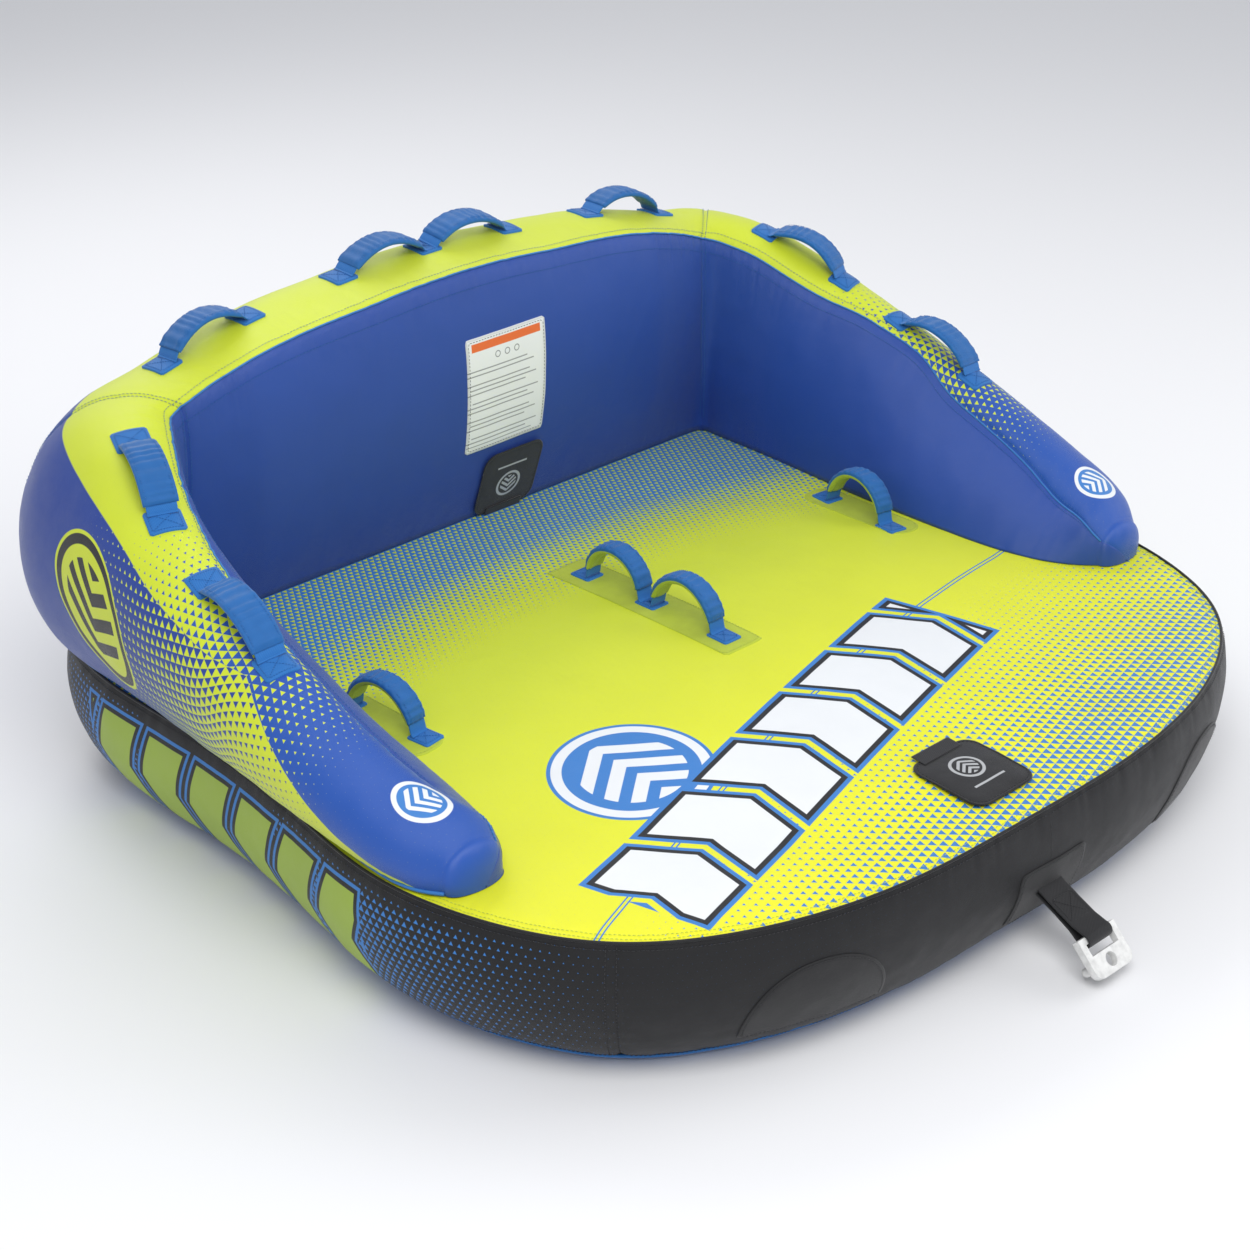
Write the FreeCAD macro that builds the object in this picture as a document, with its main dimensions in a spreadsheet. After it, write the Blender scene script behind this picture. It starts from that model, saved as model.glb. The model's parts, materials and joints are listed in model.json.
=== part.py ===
"""Two-seat towable tube: a flat inflated base, a U-shaped inflated rim (two arms and a back rest),
padded webbing grips, two covered inflation valves, a cover zipper and a tow strap with its hook.

Frame: +Z up, the tow end faces -Y, the back rest is at +Y, and the shape is mirrored about X = 0.
The origin lies on the underside, on the mid-plane. Every length is in millimetres.
"""
import FreeCAD, Part
import math
import os

import Sketcher

from FreeCAD import Placement, Rotation, Vector

os.makedirs("parts", exist_ok=True)
doc = FreeCAD.newDocument("TowableTube")

UP = Vector(0, 0, 1)
MIRROR_ORIGIN = Vector(0, 0, 0)
MIRROR_NORMAL = Vector(1, 0, 0)

# ---------------------------------------------------------------- driving dimensions
SIZES = {
    # inflated base and its cover
    "deck_height": 251.0,
    "deck_crown": 22.0,
    "crown_radius": 596.0,
    "crown_centre_back": -100.0,
    "cover_wall": 2.5,
    "seam_gap": 0.5,
    "profile_step": 18.0,
    "section_step": 45.0,
    "bladder_gap": 3.0,
    "bladder_side_gap": 7.0,
    "bladder_wall": 2.0,
    "bottom_seam_height": 14.0,
    "patch_gap": 0.5,
    "patch_thickness": 1.4,
    "thin_patch_thickness": 0.9,
    "bow_patch_spread": 345.0,
    "bow_patch_turn": 18.0,
    "bow_patch_width": 235.0,
    "bow_patch_height": 120.0,
    "bow_patch_low": 62.0,
    "tow_patch_width": 150.0,
    "tow_patch_height": 104.0,
    "tow_patch_low": 56.0,
    "tow_slot_width": 66.0,
    "tow_slot_height": 20.0,
    "centre_patch_width": 86.0,
    "centre_patch_margin": 48.0,
    "centre_patch_corner": 6.0,
    "side_patch_width": 74.0,
    "side_patch_margin": 39.0,
    "side_patch_corner": 30.0,
    # webbing grips
    "strap_width": 56.0,
    "strap_thickness": 8.0,
    "strap_root_height": 14.5,
    "strap_rise": 24.0,
    "loop_width": 38.0,
    "loop_thickness": 14.0,
    "loop_root_height": 19.5,
    "loop_rise": 56.0,
    "tab_length": 30.0,
    "tab_thickness": 2.2,
    "tab_seat": 0.6,
    "patched_tab_seat": 1.8,
    # inflation valves
    "valve_opening": 32.0,
    "valve_flange_radius": 40.0,
    "valve_flange_thickness": 2.4,
    "valve_flange_gap": 1.8,
    "valve_collar_radius": 24.0,
    "valve_bore_radius": 19.0,
    "valve_depth": 26.0,
    "valve_cap_radius": 18.4,
    "valve_cap_thickness": 4.0,
    "valve_cap_sink": 3.4,
    "valve_key_width": 5.0,
    "valve_stem_radius": 3.0,
    "valve_stem_length": 16.0,
    "valve_disc_radius": 15.0,
    "valve_disc_thickness": 2.5,
    "flap_width": 140.0,
    "flap_length": 142.0,
    "flap_thickness": 2.6,
    "flap_corner": 26.0,
    "flap_lift": 2.6,
    "hook_patch_width": 46.0,
    "hook_patch_length": 22.0,
    "hook_patch_thickness": 1.2,
    # cover zipper on the rear wall
    "zip_length": 980.0,
    "zip_height": 172.0,
    "zip_face": 812.2,
    "zip_end_margin": 10.0,
    "zip_tape_width": 32.0,
    "zip_tape_thickness": 1.4,
    "zip_teeth_width": 7.0,
    "zip_teeth_thickness": 2.2,
    "slider_length": 15.0,
    "slider_width": 12.0,
    "slider_wall": 1.6,
    "slider_clearance": 0.3,
    "slider_from_end": 24.0,
    "slider_ear_length": 3.6,
    "slider_ear_width": 1.2,
    "slider_ear_spread": 3.0,
    "slider_ear_over_pin": 1.7,
    "slider_pin_length": 7.0,
    "pull_length": 34.0,
    "pull_width": 8.0,
    "pull_thickness": 2.0,
    "pull_barrel_radius": 2.2,
    "pull_pin_radius": 1.0,
    "pull_neck_length": 7.0,
    "pull_neck_width": 4.0,
    # drain grommets in the bottom panel
    "grommet_hole_radius": 7.0,
    "grommet_radius": 6.8,
    "grommet_bore_radius": 4.0,
    # tow strap and tow hook
    "tow_height": 106.0,
    "tow_droop": 26.0,
    "tow_clearance": 14.0,
    "hook_droop": 20.0,
    "tow_width": 58.0,
    "tow_length": 92.0,
    "tow_thickness": 12.0,
    "tow_loop_radius": 13.0,
    "tow_bar_clearance": 9.0,
    "hook_width": 86.0,
    "hook_length": 66.0,
    "hook_thickness": 13.0,
    "hook_bar": 11.0,
    "hook_eye_radius": 11.0,
    "hook_post_radius": 7.0,
    "hook_post_length": 20.0,
    "hook_post_side": 30.0,
    "hook_post_margin": 18.0,
    "hook_eye_margin": 19.0,
    "hook_corner": 15.0,
    # sewn label on the back rest
    "label_width": 183.0,
    "label_height": 217.0,
}

sheet = doc.addObject("Spreadsheet::Sheet", "Sizes")
for row, (alias, value) in enumerate(SIZES.items(), start=1):
    sheet.set(f"A{row}", alias)
    sheet.set(f"B{row}", str(value))
    sheet.setAlias(f"B{row}", alias)
doc.recompute()


def size(alias):
    """A driving dimension, read back from the sheet."""
    return float(getattr(sheet, alias))


DECK = size("deck_height")
WALL = size("cover_wall")

# Plan outline of the base at its top seam: half of it, from the tow end round to the rear centre.
BASE_OUTLINE = [
    (0, -764), (300, -751), (528, -689), (700, -573), (798, -395), (828, -245),
    (803, 10), (783, 290), (779, 555), (709, 722), (540, 789), (270, 796), (0, 797),
]

# Side profile of the base: height above the floor and how far the wall lies inside the top seam.
BASE_PROFILE = [(0, 92), (14, 60), (45, 25), (85, 4), (130, -10), (180, -14), (225, -8), (251, 0)]

# Cross-sections of the rim. Each has the plan point of its inner lower edge, the plan direction it
# faces (degrees from +X), the bulge of its inner face, the inner top seam, then crown, shoulder,
# widest point and lower side as (outward, up) pairs, and how far out its outer lower edge lies.
NOSE_TIP = ((690, -338), 0, 1, (3, 44), (50, 66), (84, 58), (102, 38), (105, 17), 101)
NOSE = ((662, -314), 0, 2, (12, 66), (80, 98), (126, 86), (152, 57), (157, 26), 150)
ARM_SECTIONS = [
    NOSE_TIP,
    NOSE,
    ((632, -260), 0, 4, (61, 67), (130, 112), (182, 99), (211, 66), (212, 31), 191),
    ((609, -160), 0, 10, (114, 112), (170, 142), (219, 128), (251, 86), (244, 40), 209),
    ((602, 0), 0, 15, (130, 174), (185, 203), (237, 180), (268, 120), (252, 52), 202),
    ((602, 150), 0, 18, (116, 230), (179, 260), (235, 232), (268, 157), (247, 64), 189),
    ((609, 300), 0, 18, (91, 289), (158, 317), (220, 285), (257, 190), (237, 76), 174),
    ((614, 400), 0, 15, (60, 336), (130, 359), (200, 323), (245, 208), (226, 80), 166),
    ((615, 470), 0, 10, (26, 375), (102, 393), (180, 352), (240, 216), (222, 82), 164),
    ((615, 528), 0, 6, (-8, 394), (76, 414), (164, 368), (237, 220), (220, 82), 164),
    ((618, 545), 22.5, 4, (-24, 397), (60, 420), (158, 374), (236, 222), (222, 82), 168),
]
MITRE = ((622, 556), 45, 3, (-36, 399), (52, 425), (152, 378), (228, 224), (218, 82), 178)
BACK_SECTIONS = [
    ((604, 564), 67.5, 6, (-38, 402), (56, 429), (152, 384), (228, 226), (222, 84), 205),
    ((575, 565), 90, 14, (-38, 410), (58, 434), (153, 392), (225, 230), (224, 86), 222),
    ((500, 565), 90, 27, (-39, 436), (64, 452), (156, 412), (225, 240), (223, 90), 225),
    ((389, 565), 90, 36, (-40, 461), (68, 474), (158, 436), (225, 252), (222, 94), 227),
    ((200, 565), 90, 42, (-41, 480), (72, 491), (160, 456), (225, 262), (222, 96), 229),
    ((0, 565), 90, 44, (-42, 490), (72, 500), (160, 466), (225, 268), (222, 98), 230),
]
RIGHT_MITRE = len(ARM_SECTIONS)
LEFT_MITRE = RIGHT_MITRE + 2 * len(BACK_SECTIONS)
RIM_END = RIGHT_MITRE + LEFT_MITRE

# Grip feet on the rim: the two ends of each grip, as points just above the crown of the tube.
ARM_GRIPS = {
    "rear": (Vector(713, 476, 683), Vector(764, 318, 623)),
    "front": (Vector(781, 192, 569), Vector(792, 17, 508)),
}
BACK_GRIP_FEET = {
    "outer": (389, 578),
    "centre": (0, 188),
}
BACK_GRIP_Y = 636
DECK_GRIP_FEET = (236, 73, -100)
ABOVE_DECK = 500
SIDE_GRIP_X = 556
SIDE_GRIP_FEET = (176, 12)
DECK_VALVE = Vector(-20, -638, DECK + 20)
BACK_VALVE = Vector(93, 530, DECK + 69)
LABEL_CENTRE = Vector(65, 400, DECK + 264)

nodes = {}
ANCHORS = {}


# ---------------------------------------------------------------- helpers: curves and lofts
def feature(name, shape):
    """A free-form sub-part: a Part::Feature holding one shape."""
    item = doc.addObject("Part::Feature", name)
    item.Label = name
    item.Shape = shape
    item.Placement = Placement()
    nodes[name] = item
    return item


def named(item, name):
    """Register a parametric object as a sub-part."""
    item.Label = name
    nodes[name] = item
    return item


def mirrored(shape):
    return shape.mirror(MIRROR_ORIGIN, MIRROR_NORMAL)


def outline_wire(inset, height):
    """The base's plan outline, moved in by inset along its own normal, at a height."""
    right = [Vector(x, y, height) for x, y in BASE_OUTLINE]
    left = [Vector(-point.x, point.y, height) for point in reversed(right[1:-1])]
    curve = Part.BSplineCurve()
    curve.interpolate(Points=right + left, PeriodicFlag=True)
    moved = []
    for point in right + left:
        tangent = Vector(*curve.tangent(curve.parameter(point))[0])
        inward = UP.cross(tangent)
        moved.append(point + inward * inset)
    result = Part.BSplineCurve()
    result.interpolate(Points=moved, PeriodicFlag=True)
    return Part.Wire(result.toShape())


def smooth(knots, rows, at):
    """Value at a knot position of the smooth curve through rows of numbers (a cubic per span)."""
    last = len(knots) - 1
    span = max(index for index in range(last) if knots[index] <= at or index == 0)
    slopes = []
    for index in (span, span + 1):
        before, after = max(index - 1, 0), min(index + 1, last)
        reach = knots[after] - knots[before]
        slopes.append([(end - start) / reach for start, end in zip(rows[before], rows[after])])
    width = knots[span + 1] - knots[span]
    part = (at - knots[span]) / width
    keep = (1 + 2 * part) * (1 - part) ** 2
    lead = part * (1 - part) ** 2 * width
    trail = part * part * (part - 1) * width
    return [
        keep * low + (1 - keep) * high + lead * slopes[0][axis] + trail * slopes[1][axis]
        for axis, (low, high) in enumerate(zip(rows[span], rows[span + 1]))
    ]


def profile_inset(height):
    """Inset of the wall at a height, on the smooth side profile of the base."""
    heights = [level for level, _ in BASE_PROFILE]
    return smooth(heights, [[inside] for _, inside in BASE_PROFILE], height)[0]


def base_wires(inset, low, high):
    """Outlines of the base between two heights, all moved in by inset."""
    steps = max(2, round((high - low) / size("profile_step")))
    levels = [low + (high - low) * step / steps for step in range(steps + 1)]
    return [outline_wire(profile_inset(level) + inset, level) for level in levels]


def lofted(wires):
    """Closed solid through a row of wires."""
    return Part.makeLoft(wires, True, True)


def walled(outer, inner, start_open, end_open):
    """Solid wall between two rows of wires, each end either open or closed by a cap."""
    faces = Part.makeLoft(outer, False, True).Faces + Part.makeLoft(inner, False, True).Faces
    for end, is_open in ((0, start_open), (-1, end_open)):
        if is_open:
            faces.append(Part.Face([outer[end], inner[end]]))
        else:
            faces += [Part.Face(outer[end]), Part.Face(inner[end])]
    shell = Part.Shell(faces)
    shell.sewShape()
    solid = Part.Solid(shell.Shells[0])
    solid.fix(0.001, 0.001, 0.001)
    return solid


def hollow(outer, inner):
    """Sealed solid wall between two closed solids, one inside the other."""
    cavity = inner.Shells[0].copy()
    cavity.reverse()
    return Part.makeSolid(Part.Compound([outer.Shells[0], cavity]))


def toward(start, end):
    """Unit direction between two (outward, up) points."""
    length = math.hypot(end[0] - start[0], end[1] - start[1])
    return ((end[0] - start[0]) / length, (end[1] - start[1]) / length)


def moved_in(before, point, after, inset):
    """A profile point moved in by inset, on the bisector of its two neighbours' directions."""
    first = toward(before, point)
    second = toward(point, after)
    normal_one = (first[1], -first[0])
    normal_two = (second[1], -second[0])
    share = inset / (1 + normal_one[0] * normal_two[0] + normal_one[1] * normal_two[1])
    return (
        point[0] + share * (normal_one[0] + normal_two[0]),
        point[1] + share * (normal_one[1] + normal_two[1]),
    )


def flat(section):
    """A section's numbers as one list."""
    plan, facing, bulge, *points, outer = section
    return [*plan, facing, bulge, *(number for point in points for number in point), outer]


def widest_point(numbers):
    """Plan point of a section's widest point, which spaces the sections along the rim."""
    angle = math.radians(numbers[2])
    return (numbers[0] + numbers[10] * math.cos(angle), numbers[1] + numbers[10] * math.sin(angle))


def rim_sections(start, end):
    """Evenly filled-in sections of the whole rim, between two of the named ones.

    The named sections run from the +X nose round the back rest to the -X nose.
    """
    right = [flat(part) for part in ARM_SECTIONS + [MITRE] + BACK_SECTIONS]
    rows = right + [mirrored_numbers(row) for row in reversed(right[:-1])]
    knots = [0.0]
    for before, after in zip(rows, rows[1:]):
        knots.append(knots[-1] + math.dist(widest_point(before), widest_point(after)))
    filled = []
    for index in range(start, end):
        steps = max(1, round((knots[index + 1] - knots[index]) / size("section_step")))
        for step in range(steps):
            at = knots[index] + (knots[index + 1] - knots[index]) * step / steps
            filled.append(smooth(knots, rows, at))
    filled.append(rows[end])
    return filled


def mirrored_numbers(numbers):
    return [-numbers[0], numbers[1], 180 - numbers[2], *numbers[3:]]


def section_wire(numbers, inset):
    """Closed wire of one rim section: arched inner face, smooth outer skin, flat underside."""
    plan_x, plan_y, facing, bulge, *rest = numbers
    points = list(zip(rest[0:-1:2], rest[1:-1:2]))
    outer = rest[-1]
    seam = points[0]
    direction = toward((0, 0), seam)
    middle = (seam[0] / 2 - bulge * direction[1], seam[1] / 2 + bulge * direction[0])
    ring = [(0, 0), middle, *points, (outer, 0)]
    count = len(ring)
    inner = [
        moved_in(ring[index - 1], ring[index], ring[(index + 1) % count], inset)
        for index in range(count)
    ]
    angle = math.radians(facing)
    spots = [
        Vector(
            plan_x + out * math.cos(angle),
            plan_y + out * math.sin(angle),
            DECK + size("seam_gap") + height,
        )
        for out, height in inner
    ]
    low, arch, top, *outside = spots
    face = Part.Arc(low, arch, top).toShape()
    skin = Part.BSplineCurve()
    skin.interpolate(Points=[top] + outside, Parameters=[0.0, 0.25, 0.45, 0.68, 0.86, 1.0])
    floor = Part.LineSegment(outside[-1], low).toShape()
    return Part.Wire([face, skin.toShape(), floor])


def rim_wires(start, end, inset):
    """Wires of a stretch of the rim, its skin and its closed nose ends moved in by inset."""
    sections = rim_sections(start, end)
    if start == 0:
        sections[0][1] += inset
    if end == RIM_END:
        sections[-1][1] += inset
    return [section_wire(part, inset) for part in sections]


def surface_spot(shape, near):
    """The nearest point on a shape's skin to a point outside it, and the outward normal there."""
    _, pairs, _ = shape.distToShape(Part.Vertex(near))
    spot = pairs[0][0]
    return spot, (near - spot).normalize()


def frame_at(spot, normal, along):
    """Placement at a point with Z along the normal and X as near as can be to a direction."""
    across = normal.cross(along).normalize()
    return Placement(spot, Rotation(across.cross(normal), across, normal, "ZXY"))


# ---------------------------------------------------------------- helpers: bodies and primitives
def origin_plane(body, role):
    return next(part for part in body.Origin.OriginFeatures if part.Role == role)


def new_sketch(body, name, role):
    sketch = body.newObject("Sketcher::SketchObject", name)
    sketch.AttachmentSupport = (origin_plane(body, role), [""])
    sketch.MapMode = "FlatFace"
    return sketch


def rectangle(sketch, width, height, low):
    """A rectangle centred on the sketch's vertical axis; its sizes are sheet expressions."""
    wide = sheet_value(width) / 2
    bottom = sheet_value(low)
    top = bottom + sheet_value(height)
    corners = [
        Vector(-wide, bottom, 0), Vector(wide, bottom, 0), Vector(wide, top, 0), Vector(-wide, top, 0),
    ]
    for index in range(4):
        sketch.addGeometry(Part.LineSegment(corners[index], corners[(index + 1) % 4]), False)
    for index in range(4):
        sketch.addConstraint(Sketcher.Constraint("Coincident", index, 2, (index + 1) % 4, 1))
    for index, kind in ((1, "Vertical"), (2, "Horizontal"), (3, "Vertical")):
        sketch.addConstraint(Sketcher.Constraint(kind, index))
    sketch.addConstraint(Sketcher.Constraint("Symmetric", 0, 1, 0, 2, -2))
    bound(sketch, Sketcher.Constraint("DistanceX", 0, 1, 0, 2, 2 * wide), "width", width)
    bound(sketch, Sketcher.Constraint("DistanceY", 1, 1, 1, 2, top - bottom), "height", height)
    bound(sketch, Sketcher.Constraint("DistanceY", -1, 1, 0, 1, bottom), "low", low)


def bound(sketch, constraint, name, expression):
    """Add a constraint and bind it to a sheet expression."""
    index = sketch.addConstraint(constraint)
    sketch.renameConstraint(index, name)
    sketch.setExpression(f"Constraints.{name}", expression)


def circle(sketch, radius, name, centre=(0.0, 0.0)):
    index = sketch.addGeometry(
        Part.Circle(Vector(centre[0], centre[1], 0), Vector(0, 0, 1), sheet_value(radius)), False
    )
    bound(sketch, Sketcher.Constraint("Radius", index, sheet_value(radius)), name, radius)
    return index


def sheet_value(expression):
    """The number that a sheet expression stands for."""
    scratch = doc.getObject("Scratch") or doc.addObject("App::FeaturePython", "Scratch")
    if "Value" not in scratch.PropertiesList:
        scratch.addProperty("App::PropertyFloat", "Value")
    scratch.setExpression("Value", expression)
    scratch.recompute()
    return float(scratch.Value)


def pad(body, name, sketch, length, centred=True):
    item = body.newObject("PartDesign::Pad", name)
    item.Profile = sketch
    if centred:
        item.SideType = "Symmetric"
    item.setExpression("Length", length)
    sketch.Visibility = False
    return item


def rounded(body, name, source, radius, keep):
    """Fillet the edges of a feature for which keep(edge) is true."""
    doc.recompute()
    names = [
        f"Edge{index + 1}" for index, edge in enumerate(source.Shape.Edges) if keep(edge)
    ]
    item = body.newObject("PartDesign::Fillet", name)
    item.Base = (source, names)
    item.setExpression("Radius", radius)
    return item


def cylinder(name, radius, height, placement=None):
    item = doc.addObject("Part::Cylinder", name)
    item.setExpression("Radius", radius)
    item.setExpression("Height", height)
    item.Placement = placement or Placement()
    return item


def box(name, length, width, height, placement=None):
    """A box centred in plan on its placement's origin, standing on it."""
    item = doc.addObject("Part::Box", name)
    item.setExpression("Length", length)
    item.setExpression("Width", width)
    item.setExpression("Height", height)
    doc.recompute()
    shift = Placement(Vector(-item.Length.Value / 2, -item.Width.Value / 2, 0), Rotation())
    item.Placement = (placement or Placement()).multiply(shift)
    return item


def cut(name, base, tool):
    item = doc.addObject("Part::Cut", name)
    item.Base = base
    item.Tool = tool
    return item


def fuse(name, parts):
    item = doc.addObject("Part::MultiFuse", name)
    item.Shapes = parts
    return item


def group(name, parts):
    item = doc.addObject("Part::Compound", name)
    item.Links = parts
    return named(item, name)


# ---------------------------------------------------------------- base: cover and bladder
def crown_ball(grown):
    """The large ball whose cap crowns the deck, grown outward."""
    crown = size("deck_crown")
    reach = size("crown_radius")
    radius = (reach * reach + crown * crown) / (2 * crown)
    return Part.makeSphere(radius + grown, Vector(0, size("crown_centre_back"), DECK + crown - radius))


def deck_cap(grown):
    """The crowned middle of the deck above the underside of its panel."""
    reach = size("crown_radius") + 12
    above = Part.makeBox(2 * reach, 2 * reach, 60)
    above.translate(Vector(-reach, size("crown_centre_back") - reach, DECK - WALL))
    return crown_ball(grown).common(above)


def deck_shape():
    """The sewn deck panel: a flat rim round a crowned middle, one wall thick."""
    plate = Part.Face(outline_wire(0, DECK - WALL)).extrude(Vector(0, 0, WALL))
    return plate.fuse(deck_cap(0)).cut(deck_cap(-WALL)).removeSplitter()


def make_base():
    """Deck panel, side band and bottom panel sewn round the base, and the bladder inside."""
    opening = hole(DECK_FRAME, size("valve_opening"), 12)
    feature("deck_panel", deck_whole.cut(opening))

    low = size("bottom_seam_height")
    gap = size("seam_gap")
    top = DECK - WALL - gap
    outside = base_wires(0, low + gap, top)
    feature("side_band", walled(outside, base_wires(WALL, low + gap, top), True, True))

    outside = [outline_wire(profile_inset(0), 0), outline_wire(profile_inset(low), low)]
    inside = [
        outline_wire(profile_inset(0) + WALL, WALL),
        outline_wire(profile_inset(low) + WALL, low + WALL),
    ]
    bottom = lofted(outside).cut(lofted(inside))
    for spot in grommet_spots():
        bottom = bottom.cut(Part.makeCylinder(size("grommet_hole_radius"), 3 * WALL, spot - UP * WALL))
    feature("bottom_panel", bottom)

    clear = WALL + size("bladder_side_gap")
    thick = size("bladder_wall")
    floor = WALL + size("bladder_gap")
    roof = DECK - WALL - size("bladder_gap")
    outside = lofted(base_wires(clear, floor, roof))
    inside = lofted(base_wires(clear + thick, floor + thick, roof - thick))
    feature("base_bladder", hollow(outside, inside).cut(valve_hole_in_bladder(DECK_FRAME)))


def grommet_spots():
    """Drain holes: three along each side of the bottom panel."""
    return [Vector(side * 520, y, 0) for side in (-1, 1) for y in (-380, 60, 500)]


def make_grommets():
    rings = []
    for index, spot in enumerate(grommet_spots()):
        place = Placement(spot + UP * 0.4, Rotation())
        outer = cylinder(f"grommet_outer_{index}", "Sizes.grommet_radius", "Sizes.cover_wall", place)
        inner = cylinder(
            f"grommet_bore_{index}", "Sizes.grommet_bore_radius", "Sizes.cover_wall", place
        )
        rings.append(cut(f"grommet_{index}", outer, inner))
    group("drain_grommets", rings)


# ---------------------------------------------------------------- rim: covers and bladder
def hole(place, radius, depth):
    """A cylinder that runs depth both ways through the skin at a placement."""
    tool = Part.makeCylinder(radius, 2 * depth, Vector(0, 0, -depth))
    tool.Placement = place
    return tool


def valve_hole_in_bladder(place):
    """The valve's flange fills this hole in the bladder."""
    return hole(place, size("valve_flange_radius") + 0.8, 20)


def make_rim():
    """Arm covers and back cover, which share the mitre seams, and the U-shaped bladder inside."""
    arm = walled(rim_wires(0, RIGHT_MITRE, 0), rim_wires(0, RIGHT_MITRE, WALL), False, True)
    feature("arm_cover_left", arm)
    feature("arm_cover_right", mirrored(arm))
    outside = rim_wires(RIGHT_MITRE, LEFT_MITRE, 0)
    back = walled(outside, rim_wires(RIGHT_MITRE, LEFT_MITRE, WALL), True, True)
    feature("back_cover", back.cut(hole(BACK_FRAME, size("valve_opening"), 14)))

    clear = WALL + size("bladder_gap")
    outer = lofted(rim_wires(0, RIM_END, clear))
    inner = lofted(rim_wires(0, RIM_END, clear + size("bladder_wall")))
    feature("rim_bladder", hollow(outer, inner).cut(valve_hole_in_bladder(BACK_FRAME)))


# ---------------------------------------------------------------- sewn patches
def band_skin(out):
    """The base's wall grown outward, for patches that follow it."""
    return lofted(base_wires(-out, 20, DECK - 8))


def sewn_on(name, thin, thick, outline):
    """A patch: the layer between two grown skins, cut out by a prism."""
    layer = thick.common(outline).cut(thin)
    feature(name, layer)


def half_oval(centre_x, angle, wide, tall, low):
    """A prism with a half-oval face, flat side down, which points out from the base."""
    turn = math.radians(angle)
    along = Vector(math.cos(turn), math.sin(turn), 0)
    outward = Vector(math.sin(turn), -math.cos(turn), 0)
    start = Vector(centre_x, -560 + abs(centre_x) * 0.42, low)
    left = start - along * (wide / 2)
    right = start + along * (wide / 2)
    top = start + UP * tall
    shoulder = tall * 0.8
    arch = Part.BSplineCurve()
    arch.interpolate(
        Points=[
            left, left + along * (wide * 0.16) + UP * shoulder, top,
            right - along * (wide * 0.16) + UP * shoulder, right,
        ]
    )
    face = Part.Face(Part.Wire([arch.toShape(), Part.LineSegment(right, left).toShape()]))
    return face.extrude(outward * 420)


def make_patches():
    gap = size("patch_gap")
    thick = gap + size("patch_thickness")
    thin_skin = band_skin(gap)
    thick_skin = band_skin(thick)
    for name, side in (("bow_patch_right", -1), ("bow_patch_left", 1)):
        outline = half_oval(
            side * size("bow_patch_spread"), side * size("bow_patch_turn"), size("bow_patch_width"),
            size("bow_patch_height"), size("bow_patch_low"),
        )
        sewn_on(name, thin_skin, thick_skin, outline)
    depth = 140
    front = TOW_ROOT.y - depth / 2
    wide = size("tow_patch_width")
    plaque = Part.makeBox(
        wide, depth, size("tow_patch_height"), Vector(TOW_ROOT.x - wide / 2, front, size("tow_patch_low"))
    )
    wide = size("tow_slot_width")
    high = size("tow_slot_height")
    opening = Part.makeBox(
        wide, depth, high, Vector(TOW_ROOT.x - wide / 2, front, size("tow_height") - high / 2)
    )
    sewn_on("tow_patch", thin_skin, thick_skin, plaque.cut(opening))

    wide = size("label_width")
    tall = size("label_height")
    corner = Vector(LABEL_CENTRE.x - wide / 2, 380, LABEL_CENTRE.z - tall / 2)
    sheet_top = gap + size("thin_patch_thickness")
    thin_back = lofted(rim_wires(RIGHT_MITRE, LEFT_MITRE, -gap))
    thick_back = lofted(rim_wires(RIGHT_MITRE, LEFT_MITRE, -sheet_top))
    sewn_on("care_label", thin_back, thick_back, Part.makeBox(wide, 190, tall, corner))

    thin_deck = deck_skin(gap)
    thick_deck = deck_skin(sheet_top)
    rear, _, front = DECK_GRIP_FEET
    long = rear - front + 2 * size("centre_patch_margin")
    outline = deck_prism(
        0, (rear + front) / 2, size("centre_patch_width"), long, size("centre_patch_corner")
    )
    sewn_on("deck_patch_centre", thin_deck, thick_deck, outline)
    rear, front = SIDE_GRIP_FEET
    long = rear - front + 2 * size("side_patch_margin")
    for side, sign in (("left", 1), ("right", -1)):
        outline = deck_prism(
            sign * SIDE_GRIP_X, (rear + front) / 2, size("side_patch_width"), long,
            size("side_patch_corner"),
        )
        sewn_on(f"deck_patch_{side}", thin_deck, thick_deck, outline)


def deck_skin(out):
    """The space under the deck's outer face grown outward, for patches that follow it."""
    slab = Part.makeBox(1800, 1800, 40 + out, Vector(-900, -900, DECK - 40))
    return slab.fuse(crown_ball(out))


def deck_prism(centre_x, centre_y, wide, long, corner):
    """An upright prism with a rounded rectangular outline."""
    block = Part.makeBox(wide, long, 60, Vector(centre_x - wide / 2, centre_y - long / 2, DECK - 20))
    upright = [edge for edge in block.Edges if abs(edge.tangentAt(edge.FirstParameter).z) > 0.9]
    return block.makeFillet(corner, upright)


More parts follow.
